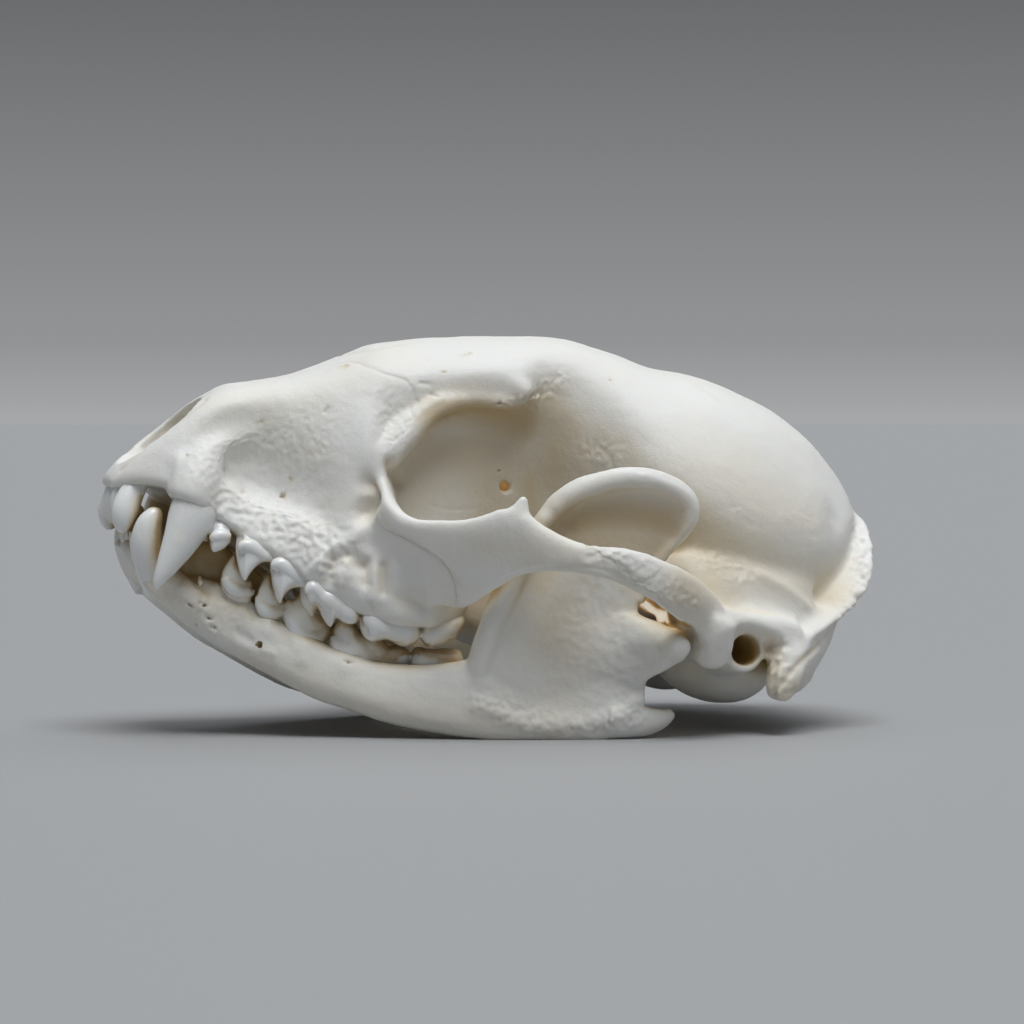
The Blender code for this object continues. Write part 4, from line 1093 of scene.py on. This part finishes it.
def zigzag(points, height, steps):
    """Line through points with small teeth across it."""
    line = through([Vector((x, 0.0, z)) for x, z in points], steps)
    result = [line[0]]
    for i in range(1, len(line) - 1):
        ahead = (line[i + 1] - line[i - 1]).normalized()
        swing = height * (1 if i % 2 else -1) * (0.6 + 0.4 * math.sin(i * 2.3))
        result.append(line[i] + Vector((-ahead.z, 0.0, ahead.x)) * swing)
    return result + [line[-1]]


def cheek_space(margin):
    """Block that holds the left cheek bone, widened all round by margin."""
    outline = zigzag(FRONT_SUTURE, 0.12, 5) + zigzag(REAR_SUTURE, 0.35, 4)
    count = len(outline)
    wide = []
    for i, point in enumerate(outline):
        ahead = (outline[(i + 1) % count] - outline[i - 1]).normalized()
        wide.append(point + Vector((-ahead.z, 0.0, ahead.x)) * -margin)
    inner = [p + Vector((0, margin - CHEEK_INNER - (CHEEK_LEVEL - p.z) * CHEEK_SLOPE, 0))
             for p in wide]
    return loft([inner, [p + Vector((0, -CHEEK_OUTER, 0)) for p in wide]])


def keep_largest(piece):
    """Keep only the largest closed surface of a piece."""
    mesh = bmesh.new()
    mesh.from_mesh(piece.data)
    seen, largest = set(), []
    for start in mesh.faces:
        if start in seen:
            continue
        group, queue = [], [start]
        seen.add(start)
        while queue:
            face = queue.pop()
            group.append(face)
            for edge in face.edges:
                for other in edge.link_faces:
                    if other not in seen:
                        seen.add(other)
                        queue.append(other)
        if len(group) > len(largest):
            largest = group
    keep = set(largest)
    bmesh.ops.delete(mesh, geom=[face for face in mesh.faces if face not in keep],
                     context="FACES")
    mesh.to_mesh(piece.data)
    mesh.free()


SIDES = {"left": lambda shape: shape, "right": mirrored}
cheeks = {}
for side, turn in SIDES.items():
    cheek = bpy.data.objects.new("zygomatic_bone_" + side, head.data.copy())
    bpy.context.scene.collection.objects.link(cheek)
    cut(cheek, to_object("space", turn(cheek_space(0.0))), operation="INTERSECT")
    keep_largest(cheek)
    cheeks[side] = cheek
for turn in SIDES.values():
    cut(head, to_object("space", turn(cheek_space(SUTURE_GAP))))
keep_largest(head)
print("cheek bones of", [len(cheek.data.polygons) for cheek in cheeks.values()], "faces")

# %% Trim the jaw at the chin and where it rests
CHIN_GAP = 0.2


def block(low, high):
    """Plain box between two corners, for cutting."""
    mesh = bmesh.new()
    bmesh.ops.create_cube(mesh, size=1.0)
    low, high = Vector(low), Vector(high)
    place = Matrix.Translation((low + high) / 2 * MM) @ Matrix.Diagonal((*((high - low) * MM), 1))
    bmesh.ops.transform(mesh, matrix=place, verts=mesh.verts)
    return to_object("block", mesh)


# both blocks reach well past the jaw on the sides that don't cut
cut(jaw, block((-80, -CHIN_GAP / 2, -30), (80, 40, 70)))
cut(jaw, block((-80, -60, -20), (80, 60, 0)))
keep_largest(jaw)
print("jaw has", len(jaw.data.polygons), "faces")

# %% [markdown]
# ## Teeth
# A cheek tooth is a flattened crown between two lines over the picture, its gum line and the line
# of its cusps, with the thickness at each place. Its root turns inwards into the bone, a swollen
# collar runs along the gum, and the molars have more cusps on the inner side.


# %% Tooth makers
ROOT_LENGTH = 1.7
ROOT_LEAN = 1.5
COLLAR_DROP = 0.7


def cusp(foot, tip, foot_radius, tip_radius):
    """Rounded cone from a foot to a tip, with a root that runs back along its line."""
    along = (tip - foot).normalized()
    points = [foot - along * ROOT_LENGTH * 1.5, foot, foot.lerp(tip, 0.5),
              tip - along * tip_radius, tip]
    radii = [foot_radius * 0.7, foot_radius, foot_radius * 0.55 + tip_radius * 0.5, tip_radius,
             tip_radius * 0.3]
    return horn(points, radii)


def tooth(y, stations, inward=(), fullness=2.1):
    """Cheek tooth at depth y. Stations: gum mark, cusp mark, thickness, from front to back.
    Inward cusps are (along, inward, radius, height) from the middle of the gum line."""
    gums = [at_depth(station[:2], y) for station in stations]
    tips = [at_depth(station[2:4], y) for station in stations]
    thick = [station[4] for station in stations]
    sections, collar = [], []
    for gum, tip, width in zip(gums, tips, thick):
        down = (tip - gum).normalized()
        sections.append((gum - down * ROOT_LENGTH + Vector((0, ROOT_LEAN, 0)), tip, width))
        collar.append(gum + down * min(COLLAR_DROP, (tip - gum).length / 2))
    pieces = [blade(sections, steps=5, sides=24, fullness=fullness),
              horn(collar, [width * 0.42 for width in thick], squash=0.9)]
    middle = sum(gums, Vector()) / len(gums)
    rise = sum(((tip - gum).normalized() for gum, tip in zip(gums, tips)), Vector()).normalized()
    for along, inwards, radius, height in inward:
        foot = middle + Vector((along, inwards, 0))
        pieces.append(cusp(foot, foot + rise * height, radius, radius * 0.5))
    return pieces


# %% Upper teeth, left side
UPPER_CHEEK_TEETH = (
    dict(y=-12.9, stations=(
        (211, 536, 211, 546, 0.8), (214, 533, 213, 552, 1.8), (220, 531, 219, 551, 2.2),
        (226, 531, 226, 547, 2.0), (231, 532, 231, 541, 1.0))),
    dict(y=-13.9, stations=(
        (240, 546, 240, 562, 1.2), (242.5, 542, 242, 577, 2.0), (246.5, 541, 245.5, 581, 2.4),
        (251, 542, 250, 574, 2.5), (256, 545, 256, 567, 2.4), (262, 549, 262, 562.5, 2.1),
        (269, 553, 268, 561, 1.8), (275, 557, 274, 560.5, 1.0))),
    dict(y=-15.0, stations=(
        (273.5, 565, 273.5, 578, 1.0), (276, 561, 276, 590, 2.2), (280, 560, 280, 604, 2.8),
        (285, 562, 284, 596, 3.0), (290, 566, 290, 590, 3.0), (297, 571, 296, 587.5, 2.8),
        (304, 576, 303, 586.5, 2.4), (310, 580, 309, 586, 1.4))),
    dict(y=-16.8, stations=(
        (306.5, 590, 306.5, 598, 1.0), (309, 586, 309, 602, 2.0), (313, 583, 313, 603, 2.6),
        (317.5, 586, 318, 601.5, 2.6), (321, 589, 321.5, 605, 2.6), (325, 592, 325.5, 616, 3.2),
        (330, 595, 330.5, 627, 3.6), (335, 599, 336, 619, 3.6), (341, 603, 342, 616.5, 3.4),
        (347, 607, 348, 619, 3.6), (353, 610, 354, 619.5, 3.2), (358, 612, 358.5, 616, 1.6)),
         inward=((-2.0, 3.2, 1.6, 3.0), (1.4, 3.0, 1.6, 2.7), (-0.2, 1.6, 2.0, 2.2))),
    dict(y=-17.8, fullness=2.4, stations=(
        (363.5, 618, 363.5, 629, 1.6), (367, 617, 367.5, 638, 3.4), (373, 618, 373, 641, 4.2),
        (380, 620, 380, 640, 4.4), (388, 621, 388, 638.5, 4.4), (396, 623, 396, 642, 4.4),
        (404, 625, 404, 646, 4.4), (411, 626, 412, 644.5, 4.0), (416, 627, 417, 641, 3.0),
        (420, 628, 420, 636, 1.4)),
         inward=((-1.6, 4.0, 2.0, 2.9), (1.6, 4.4, 2.0, 2.7), (0.0, 2.0, 2.6, 2.3))),
    dict(y=-17.8, fullness=2.4, stations=(
        (421.5, 629, 421.5, 638, 1.4), (426, 629, 427, 643.5, 3.2), (431, 629, 432, 647.5, 3.8),
        (437, 628, 438, 644, 4.0), (443, 624, 444, 640.5, 4.0), (449, 621, 450, 640, 3.8),
        (455, 617, 456, 638.5, 3.2), (460, 614, 460.5, 632, 2.4), (463, 613, 463.5, 622, 1.2)),
         inward=((-0.6, 3.8, 1.8, 2.5), (0.4, 1.8, 2.2, 2.1))),
)
UPPER_FRONT_TEETH = (  # root, neck, middle, tip; radii
    (((-52.4, -1.2, 36.4), (-54.5, -1.3, 34.2), (-55.0, -1.35, 31.6), (-54.7, -1.35, 29.8)),
     (1.0, 1.3, 1.25, 0.65)),
    (((-52.0, -3.2, 36.4), (-54.2, -3.7, 34.0), (-54.8, -3.9, 31.4), (-54.5, -3.95, 29.2)),
     (1.1, 1.45, 1.4, 0.7)),
    (((-51.2, -4.9, 36.6), (-53.3, -6.0, 33.8), (-54.5, -6.7, 31.2), (-54.8, -6.9, 29.2),
      (-54.7, -6.9, 28.1)), (1.2, 1.7, 1.9, 1.35, 0.5)),
    (((-43.0, -9.2, 36.6), (-44.6, -10.6, 34.0), (-45.7, -11.5, 31.2), (-47.5, -12.3, 27.4),
      (-49.3, -12.7, 24.2), (-50.5, -12.8, 22.1), (-51.0, -12.7, 20.9), (-51.15, -12.7, 20.4)),
     (1.2, 2.3, 3.3, 2.6, 1.7, 1.0, 0.5, 0.15)),
)

# %% Lower teeth, left side
LOWER_CHEEK_TEETH = (
    dict(y=-9.0, stations=(
        (197, 586, 197.5, 580, 0.9), (200, 588, 200, 575, 1.5), (203, 587, 202.5, 581, 0.9))),
    dict(y=-10.8, stations=(
        (222.5, 580, 222.5, 573, 1.0), (226, 585, 226, 565, 2.0), (230, 590, 230, 559, 2.4),
        (234, 593, 234, 555, 2.6), (238, 595, 238, 562, 2.6), (242, 596, 243, 573, 2.5),
        (246, 596, 247, 580, 2.3), (250, 596, 250.5, 580, 1.9), (252.5, 592, 252.5, 585, 1.0))),
    dict(y=-11.6, stations=(
        (258, 599, 258, 592, 1.0), (261, 608, 261, 584, 2.2), (265, 614, 265, 577, 2.7),
        (269.5, 617, 269.5, 573, 2.9), (274, 617, 273.5, 580, 2.8), (278, 615, 277.5, 592, 2.6),
        (281.5, 610, 281.5, 597, 1.8), (283.5, 603, 283.5, 599, 0.9))),
    dict(y=-12.6, stations=(
        (285, 613, 285, 606, 1.0), (288.5, 618, 288.5, 599, 2.2), (292, 624, 292, 600, 2.8),
        (296, 633, 296, 597, 3.2), (301, 640, 301, 592, 3.6), (306, 643, 306, 591, 3.8),
        (311, 643, 311, 598, 3.8), (316, 642, 317, 608, 3.6), (321, 638, 322, 615, 3.2),
        (325.5, 632, 326, 618, 2.4), (328, 627, 328, 622, 1.0))),
    dict(y=-14.4, stations=(
        (334, 640, 334, 630, 1.4), (337, 647, 337.5, 622, 3.0), (341, 651, 342, 616, 3.8),
        (346, 654, 347, 615, 4.2), (352, 654, 353, 621, 4.4), (358, 654, 358, 629, 4.4),
        (363, 657, 364, 633, 4.4), (368, 662, 369, 633, 4.4), (374, 667, 375, 632, 4.4),
        (380, 668, 381, 637, 4.4), (386, 666, 387, 645, 4.2), (392, 663, 393, 650, 4.0),
        (398, 662, 399, 649, 3.8), (405, 662, 405, 652, 3.0), (409, 660, 409, 655, 1.4)),
         inward=((-2.6, 2.0, 1.4, 3.2), (1.6, 2.0, 1.5, 2.6), (4.2, 1.6, 1.4, 2.0))),
    dict(y=-15.6, stations=(
        (412, 661, 412, 655, 1.4), (416, 664, 416, 649, 3.2), (422, 665, 422, 648, 3.8),
        (430, 666, 430, 651, 4.0), (438, 667, 438, 650, 4.0), (446, 667, 446, 649, 3.8),
        (453, 666, 454, 650, 3.4), (459, 663, 460, 651, 2.4), (462, 659, 462, 654, 1.0)),
         inward=((-1.6, 1.8, 1.4, 2.2), (1.6, 1.8, 1.3, 1.9))),
)
LOWER_FRONT_TEETH = (
    (((-51.6, -0.9, 24.0), (-53.0, -1.0, 26.0), (-53.6, -1.0, 28.2)), (0.8, 0.95, 0.5)),
    (((-51.4, -2.4, 24.0), (-52.8, -2.8, 26.0), (-53.5, -2.9, 28.4)), (0.9, 1.0, 0.5)),
    (((-51.0, -4.2, 23.6), (-52.4, -4.8, 25.8), (-53.1, -5.0, 28.3)), (1.0, 1.15, 0.6)),
    (((-49.4, -5.4, 20.0), (-50.8, -7.2, 23.4), (-51.7, -8.2, 26.4), (-51.5, -8.6, 28.9),
      (-50.8, -8.7, 30.5), (-50.45, -8.7, 31.3), (-50.35, -8.7, 31.6)),
     (2.2, 2.4, 2.3, 1.95, 1.4, 0.85, 0.3)),
)

# %% Grow the teeth
TOOTH_ROUNDS = 3


def grown_teeth(name, front, squash, cheek):
    """Teeth of one jaw, left side, as one piece of enamel."""
    made = [horn(path, radii, sides=28, squash=squash) for path, radii in front]
    for shape in cheek:
        made += tooth(**shape)
    row = joined(name, made)
    remesh(row, TOOTH_GRAIN)
    soften(row, TOOTH_ROUNDS)
    return row


teeth = {row.name: row for row in (
    grown_teeth("upper_teeth_left", UPPER_FRONT_TEETH, 0.84, UPPER_CHEEK_TEETH),
    grown_teeth("lower_teeth_left", LOWER_FRONT_TEETH, 0.88, LOWER_CHEEK_TEETH))}
print("teeth", {name: len(row.data.polygons) for name, row in teeth.items()})

# %% Size of each piece
BONE_TRIANGLES = 185000
JAW_TRIANGLES = 110000
TEETH_TRIANGLES = 95000
thinned(head, BONE_TRIANGLES)
thinned(jaw, JAW_TRIANGLES)
for row in teeth.values():
    thinned(row, TEETH_TRIANGLES)
head.name = "cranium_bone"
jaw.name = "mandible_bone_left"
pieces = {piece.name: piece for piece in (head, *cheeks.values(), jaw, *teeth.values())}
print("pieces", list(pieces))

# %% [markdown]
# ## Hollows, painted shade and stains
# Cleaned bone is ivory white in the open, and gets a warm amber painted shade in its deep
# places. Each point of the skin looks outwards along a fan of directions; the share that the bones
# close off is kept on the mesh as its hollow value, which the finishes turn into painted shade.
# Marks keep their stain and painted shade too, and their painted glow.

# %% Look out from each point
FAN_COUNT = 14
FAN_TURN = 2.39996              # the golden angle, which never lines two directions up
HOLLOW_REACH = 40.0
HOLLOW_START = 0.9
HOLLOW_ROUNDS = 6
LEAST_MARK = 0.03
CLAY_REACH = 1.5                # in grains of the bone
bpy.context.view_layer.update()
crowd = bmesh.new()
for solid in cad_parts.values():
    crowd.from_mesh(solid.data)
crowd_tree = BVHTree.FromBMesh(crowd)
crowd.free()


def fan(count):
    """Directions spread evenly over a half sphere around +Z."""
    result = []
    for k in range(count):
        height = (k + 0.5) / count
        turn = k * FAN_TURN
        flat = math.sqrt(1 - height * height)
        result.append(Vector((flat * math.cos(turn), flat * math.sin(turn), height)))
    return result


def value_on(piece, name, values):
    """Keep one number for each point on a mesh."""
    layer = piece.data.attributes.new(name, "FLOAT", "POINT")
    layer.data.foreach_set("value", np.asarray(values, np.float32))


def smoothed(piece, values, rounds):
    """Average of each point's value with its neighbours'."""
    count = len(piece.data.vertices)
    ends = np.empty(len(piece.data.edges) * 2, np.int32)
    piece.data.edges.foreach_get("vertices", ends)
    a, b = ends.reshape(-1, 2).T
    share = np.bincount(a, minlength=count) + np.bincount(b, minlength=count)
    for _ in range(rounds):
        total = (np.bincount(a, values[b], count) + np.bincount(b, values[a], count))
        values = 0.5 * values + 0.5 * total / np.maximum(share, 1)
    return values


def look_out(piece):
    """Share of the view that other bone closes off, for each point."""
    ways = fan(FAN_COUNT)
    result = np.zeros(len(piece.data.vertices))
    for i, vert in enumerate(piece.data.vertices):
        out = vert.normal
        turn = out.to_track_quat("Z", "Y")
        start = vert.co + PLACE * MM + out * HOLLOW_START * MM
        closed = 0.0
        for way in ways:
            aim = turn @ way
            spot, facing, _, gap = crowd_tree.ray_cast(start, aim, HOLLOW_REACH * MM)
            if spot is not None and facing.dot(aim) < 0:
                closed += 1.0 - (gap / (HOLLOW_REACH * MM)) ** 2
        result[i] = closed / FAN_COUNT
    return smoothed(piece, result, HOLLOW_ROUNDS)


def clay_values(piece, clay):
    """Stain and painted shade, and painted glow, of each point, from the clay that the piece was
    cut from.
    """
    marked = np.nonzero((clay.stain > LEAST_MARK) | (clay.glow > LEAST_MARK))[0]
    finder = KDTree(len(marked))
    for i in marked:
        finder.insert(clay.at[i] * MM, int(i))
    finder.balance()
    stain = np.zeros(len(piece.data.vertices))
    glow = np.zeros(len(piece.data.vertices))
    for i, vert in enumerate(piece.data.vertices):
        _, found, gap = finder.find(vert.co)
        if gap < BONE_GRAIN * CLAY_REACH * MM:
            stain[i] = clay.stain[found]
            glow[i] = clay.glow[found]
    return stain, glow


# %% Places where the painted shade is lifted, since light reaches them
SHADE_LIFTED_PLACES = (  # middle on the left side, half sizes, share of the colour that is left
    ((-48.0, -8.0, 48.0), (15.0, 14.0, 16.0), 0.3),
    ((-15.0, -12.0, 32.0), (12.0, 12.0, 12.0), 0.4),
)


def lift_painted_shade(piece, values):
    """Less painted shade in the open nose and on the floor of the eye socket, which the light
    reaches.
    """
    at = np.array([vert.co for vert in piece.data.vertices]) / MM
    at[:, 1] = -np.abs(at[:, 1])
    for middle, half, share in SHADE_LIFTED_PLACES:
        away = np.sqrt((((at - middle) / half) ** 2).sum(axis=1))
        weight = np.clip(2.0 * (1.0 - away), 0.0, 1.0)
        values *= 1.0 - (1.0 - share) * weight * weight * (3.0 - 2.0 * weight)
    return values


# %% Write hollows, stains with painted shade and painted glow on the meshes, then make the other side's pieces
for name, piece in pieces.items():
    hollow = look_out(piece)
    stain, glow = np.zeros(len(hollow)), np.zeros(len(hollow))
    if "teeth" not in name:
        stain, glow = clay_values(piece, jaw_clay if "mandible" in name else head_clay)
        hollow = lift_painted_shade(piece, hollow)
    value_on(piece, "hollow", hollow)
    value_on(piece, "stain", stain)
    value_on(piece, "glow", glow)


def other_side(piece, name):
    """Mirror image of a finished piece, with its values."""
    mesh = bmesh.new()
    mesh.from_mesh(piece.data)
    made = to_object(name, mirrored(mesh))
    mesh.free()
    return made


for name in ("mandible_bone", "upper_teeth", "lower_teeth"):
    pieces[name + "_right"] = other_side(pieces[name + "_left"], name + "_right")
print({name: len(piece.data.polygons) for name, piece in pieces.items()})

# %% [markdown]
# ## Finishes
# Shader maths is written as Python expressions. The small class wraps a socket, and an operator
# between two sockets adds the Math node that works it out.


# %% Shader maths
class Wire:
    """A socket of a material's node tree that can be used in Python expressions."""

    def __init__(self, tree, socket):
        self.tree = tree
        self.socket = socket

    def math(self, operation, *others):
        return node(self.tree, "ShaderNodeMath", {"operation": operation}, self, *others)

    def __add__(self, other):
        return self.math("ADD", other)

    __radd__ = __add__

    def __mul__(self, other):
        return self.math("MULTIPLY", other)

    __rmul__ = __mul__

    def clamp(self):
        return node(self.tree, "ShaderNodeClamp", {}, self)


def fill(tree, socket, value):
    """Link a wire to a socket, or set the socket's own value."""
    if isinstance(value, Wire):
        tree.links.new(value.socket, socket)
    else:
        socket.default_value = value


def node(tree, kind, settings, *inputs, output=0, **named):
    """Add a node: settings first, then the values or wires of its sockets."""
    made = tree.nodes.new(kind)
    for key, value in settings.items():
        if key == "stops":
            ramp = made.color_ramp
            while len(ramp.elements) < len(value):
                ramp.elements.new(0.5)
            for element, (place, colour) in zip(ramp.elements, value):
                element.position = place
                element.color = (*colour, 1.0)
        else:
            setattr(made, key, value)
    for key, value in [*enumerate(inputs), *named.items()]:
        if value is not None:
            fill(tree, made.inputs[key if isinstance(key, int) else key.replace("_", " ")], value)
    return Wire(tree, made.outputs[output])


def mixed(tree, share, a, b):
    """Colour a where share is 0 and colour b where it is 1."""
    a, b = (colour if isinstance(colour, Wire) else (*colour, 1.0) for colour in (a, b))
    others = [None] * 5             # the node's sockets for mixing numbers and vectors
    return node(tree, "ShaderNodeMix", {"data_type": "RGBA"}, share, *others, a, b, output=2)


def noise_at(tree, places, scale, detail=4.0, roughness=0.5):
    """Noise on the object's own places; scale is in lumps per metre."""
    return node(tree, "ShaderNodeTexNoise", {}, Vector=places, Scale=scale, Detail=detail,
                Roughness=roughness)


def stepped(tree, wire, low, high):
    """0 below low, 1 above high, smooth between."""
    return node(tree, "ShaderNodeMapRange", {"interpolation_type": "SMOOTHSTEP"}, wire, low, high)


def value_of(tree, name):
    """A number kept on the mesh."""
    return node(tree, "ShaderNodeAttribute", {"attribute_name": name}, output="Fac")


def new_material(name):
    """Material with one shader, and the places of its object."""
    made = bpy.data.materials.new(name)
    made.use_nodes = True
    tree = made.node_tree
    places = node(tree, "ShaderNodeTexCoord", {}, output="Object")
    return made, tree, tree.nodes["Principled BSDF"], places


def feed(tree, shader, **inputs):
    """Set or link the shader's sockets."""
    for key, value in inputs.items():
        fill(tree, shader.inputs[key.replace("_", " ")], value)


# %% [markdown]
# ## Bone
# Bleached bone is ivory with a chalky skin and warm, waxy patches. Amber painted shade sits in the
# hollows, and a painted glow stands for light through thin bone and for lit bone in a gap. Close up
# it has fine pores, and its gloss is uneven.


# %% Bone material
# Colours and strength of the painted glow, which stands for light through thin bone and for lit
# bone in a gap.
GLOW_AMBER = (0.9, 0.42, 0.08)
GLOW_PALE = (1.0, 0.93, 0.78)
GLOW_STRENGTH = 0.55
DARK = (0.0, 0.0, 0.0)


def bone(name, pale, warm, stain_and_shade_colour):
    """Cleaned bone: pale skin, warm patches, painted shade in the hollows."""
    made, tree, shader, places = new_material(name)
    hollow = value_of(tree, "hollow")
    stain = value_of(tree, "stain")
    glow = value_of(tree, "glow")
    # lumps of about 18, 6 and 0.7 mm
    clouds = noise_at(tree, places, 55.0, 5.0, 0.55)
    patches = noise_at(tree, places, 160.0, 4.0, 0.6)
    grain = noise_at(tree, places, 1400.0, 3.0, 0.6)
    # Warm tone from random clouds and patches, plus painted shade: warmer where other bone closes
    # off the view and along the stain and shade marks.
    warm_tone_and_shade = (stepped(tree, clouds, 0.45, 0.75) * 0.35 + stepped(tree, patches, 0.5, 0.75) * 0.15
              + stepped(tree, hollow, 0.12, 0.5) * 0.75 + stain).clamp()
    colour = mixed(tree, warm_tone_and_shade, pale, warm)
    # Painted shade: deep amber where the view is mostly closed off, and along the stain and shade
    # marks, which also darken the sutures.
    depth = (stepped(tree, hollow, 0.36, 0.8) * 0.95 + stain * 0.8).clamp()
    colour = mixed(tree, depth, colour, stain_and_shade_colour)
    # Painted glow: the bone glows amber where the glow is weak and pale where it is strong.
    shine = mixed(tree, stepped(tree, glow, 0.4, 0.9), GLOW_AMBER, GLOW_PALE)
    feed(tree, shader, Emission_Color=mixed(tree, glow, DARK, shine),
         Emission_Strength=GLOW_STRENGTH)
    feed(tree, shader, Base_Color=colour, Roughness=0.42 + 0.14 * patches + 0.1 * grain,
         Subsurface_Weight=0.12, Subsurface_Scale=0.002, Subsurface_Radius=(1.0, 0.7, 0.45),
         IOR=1.5)
    pores = node(tree, "ShaderNodeTexVoronoi", {}, Vector=places, Scale=1900.0)
    skin = noise_at(tree, places, 420.0, 6.0, 0.62)
    height = skin * 0.5 + grain * 0.2 + stepped(tree, pores, 0.05, 0.25) * 0.12
    bump = node(tree, "ShaderNodeBump", {}, Height=height, Strength=0.5, Distance=0.00045)
    feed(tree, shader, Normal=bump)
    return made


# Colour of the painted shade in the hollows.
AMBER = (0.47, 0.32, 0.11)
finishes = {
    "bone": bone("bone_upper", (0.815, 0.81, 0.78), (0.79, 0.73, 0.60), AMBER),
    "cheek_bone": bone("bone_cheek", (0.825, 0.82, 0.79), (0.80, 0.75, 0.62), (0.52, 0.38, 0.17)),
    # The jaw's copy of the bone is a little darker: painted shade for the lower jaw, which lies in
    # shade.
    "jaw_bone": bone("bone_jaw", (0.79, 0.785, 0.75), (0.77, 0.71, 0.59), AMBER),
}
print("finishes", sorted(finishes))

# %% [markdown]
# ## Enamel
# Teeth are whiter and much glossier than bone, a little blue at their tips and creamy at the gum,
# partly as painted shade, with amber painted shade deep between them.


# %% Enamel material
def enamel(name):
    """Tooth enamel."""
    made, tree, shader, places = new_material(name)
    hollow = value_of(tree, "hollow")
    clouds = noise_at(tree, places, 260.0, 3.0, 0.5)
    grain = noise_at(tree, places, 1500.0, 2.0, 0.5)
    # Cream from random clouds and the tooth's own tone near the gum, and painted shade where other
    # bone closes off the view.
    cream_and_shade = (stepped(tree, hollow, 0.15, 0.45) * 0.8
             + stepped(tree, clouds, 0.45, 0.75) * 0.3).clamp()
    colour = mixed(tree, cream_and_shade, (0.83, 0.84, 0.835), (0.79, 0.74, 0.62))
    # Painted shade: amber brown deep between the teeth and in the mouth.
    colour = mixed(tree, stepped(tree, hollow, 0.35, 0.7) * 0.85, colour, (0.50, 0.34, 0.14))
    feed(tree, shader, Base_Color=colour, Roughness=0.2 + 0.12 * clouds,
         Subsurface_Weight=0.2, Subsurface_Scale=0.0015, Subsurface_Radius=(1.0, 0.85, 0.7),
         Coat_Weight=0.3, Coat_Roughness=0.12)
    bump = node(tree, "ShaderNodeBump", {}, Height=clouds * 0.7 + grain * 0.15, Strength=0.25,
                Distance=0.0002)
    feed(tree, shader, Normal=bump)
    return made


finishes["tooth"] = enamel("tooth_enamel")

# %% Dress the pieces and let them ride
SLOTS = {"cranium": "bone", "zygomatic": "cheek_bone", "mandible": "jaw_bone",
         "upper": "tooth", "lower": "tooth"}
STANDS_FOR = {
    "cranium_bone": ["cranium"],
    "zygomatic_bone_left": ["zygomatic_left"],
    "zygomatic_bone_right": ["zygomatic_right"],
    "mandible_bone_left": ["mandible_left"],
    "mandible_bone_right": ["mandible_right"],
    "upper_teeth_left": ["cranium"],
    "upper_teeth_right": ["cranium"],
    "lower_teeth_left": ["mandible_left"],
    "lower_teeth_right": ["mandible_right"],
}
SHARP_ANGLE = math.radians(50)
for name, piece in pieces.items():
    piece.data.transform(Matrix.Translation(PLACE * MM))
    piece.data.shade_smooth()
    piece.data.set_sharp_from_angle(angle=SHARP_ANGLE)
    slot = SLOTS[name.split("_")[0]]
    piece.data.materials.clear()
    piece.data.materials.append(finishes[slot])
    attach(piece, "root")
    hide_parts(*STANDS_FOR[name])
print("dressed", len(pieces), "pieces")

# %% [markdown]
# ## Floor and light
# A plain pale floor runs into a plain backdrop. A large soft lamp stands overhead, a little to the
# camera's side, and a weak one behind keeps the shadows open. Both are suns with a wide angle,
# which light the floor evenly.


# %% Studio
FLOOR_HALF = 20.0
FLOOR_PALE = (0.345, 0.35, 0.355)
FLOOR_DARK = (0.32, 0.325, 0.33)
floor_mesh = bmesh.new()
bmesh.ops.create_grid(floor_mesh, x_segments=1, y_segments=1, size=FLOOR_HALF)
floor = to_object("floor", floor_mesh)
floor_finish, floor_tree, floor_shader, floor_places = new_material("floor_paper")
floor_grain = noise_at(floor_tree, floor_places, 900.0, 3.0)
feed(floor_tree, floor_shader, Roughness=0.7,
     Base_Color=mixed(floor_tree, floor_grain * 0.1, FLOOR_PALE, FLOOR_DARK))
floor.data.materials.append(floor_finish)

BACKDROP = (  # height of the view, colour
    (0.0, (0.375, 0.383, 0.392)),
    (0.02, (0.29, 0.295, 0.30)),
    (0.13, (0.12, 0.123, 0.13)),
    (0.5, (0.08, 0.083, 0.09)),
    (1.0, (0.30, 0.305, 0.315)),
)
world = bpy.data.worlds.new("studio")
bpy.context.scene.world = world
world.use_nodes = True
sky = world.node_tree
looking = node(sky, "ShaderNodeTexCoord", {})
rise = node(sky, "ShaderNodeSeparateXYZ", {}, looking, output=2)
backdrop = node(sky, "ShaderNodeValToRGB", {"stops": BACKDROP}, rise)
feed(sky, sky.nodes["Background"], Color=backdrop)
bpy.context.scene.view_settings.view_transform = "Standard"


def lamp(name, towards, spread, power, colour):
    """Far soft lamp that shines from a direction, spread over so many degrees."""
    light = bpy.data.lights.new(name, "SUN")
    light.angle = math.radians(spread)
    light.energy = power
    light.color = colour
    made = bpy.data.objects.new(name, light)
    bpy.context.scene.collection.objects.link(made)
    made.rotation_euler = Vector(towards).to_track_quat("Z", "Y").to_euler()


LAMPS = (  # name, direction towards it, spread in degrees, power, colour
    ("key", (0.04, -0.48, 1.40), 36.0, 2.4, (0.965, 0.985, 1.0)),
    ("top", (0.30, 0.45, 1.0), 60.0, 0.6, (0.95, 0.98, 1.0)),
)
for row in LAMPS:
    lamp(*row)
print("lamps", len(LAMPS))
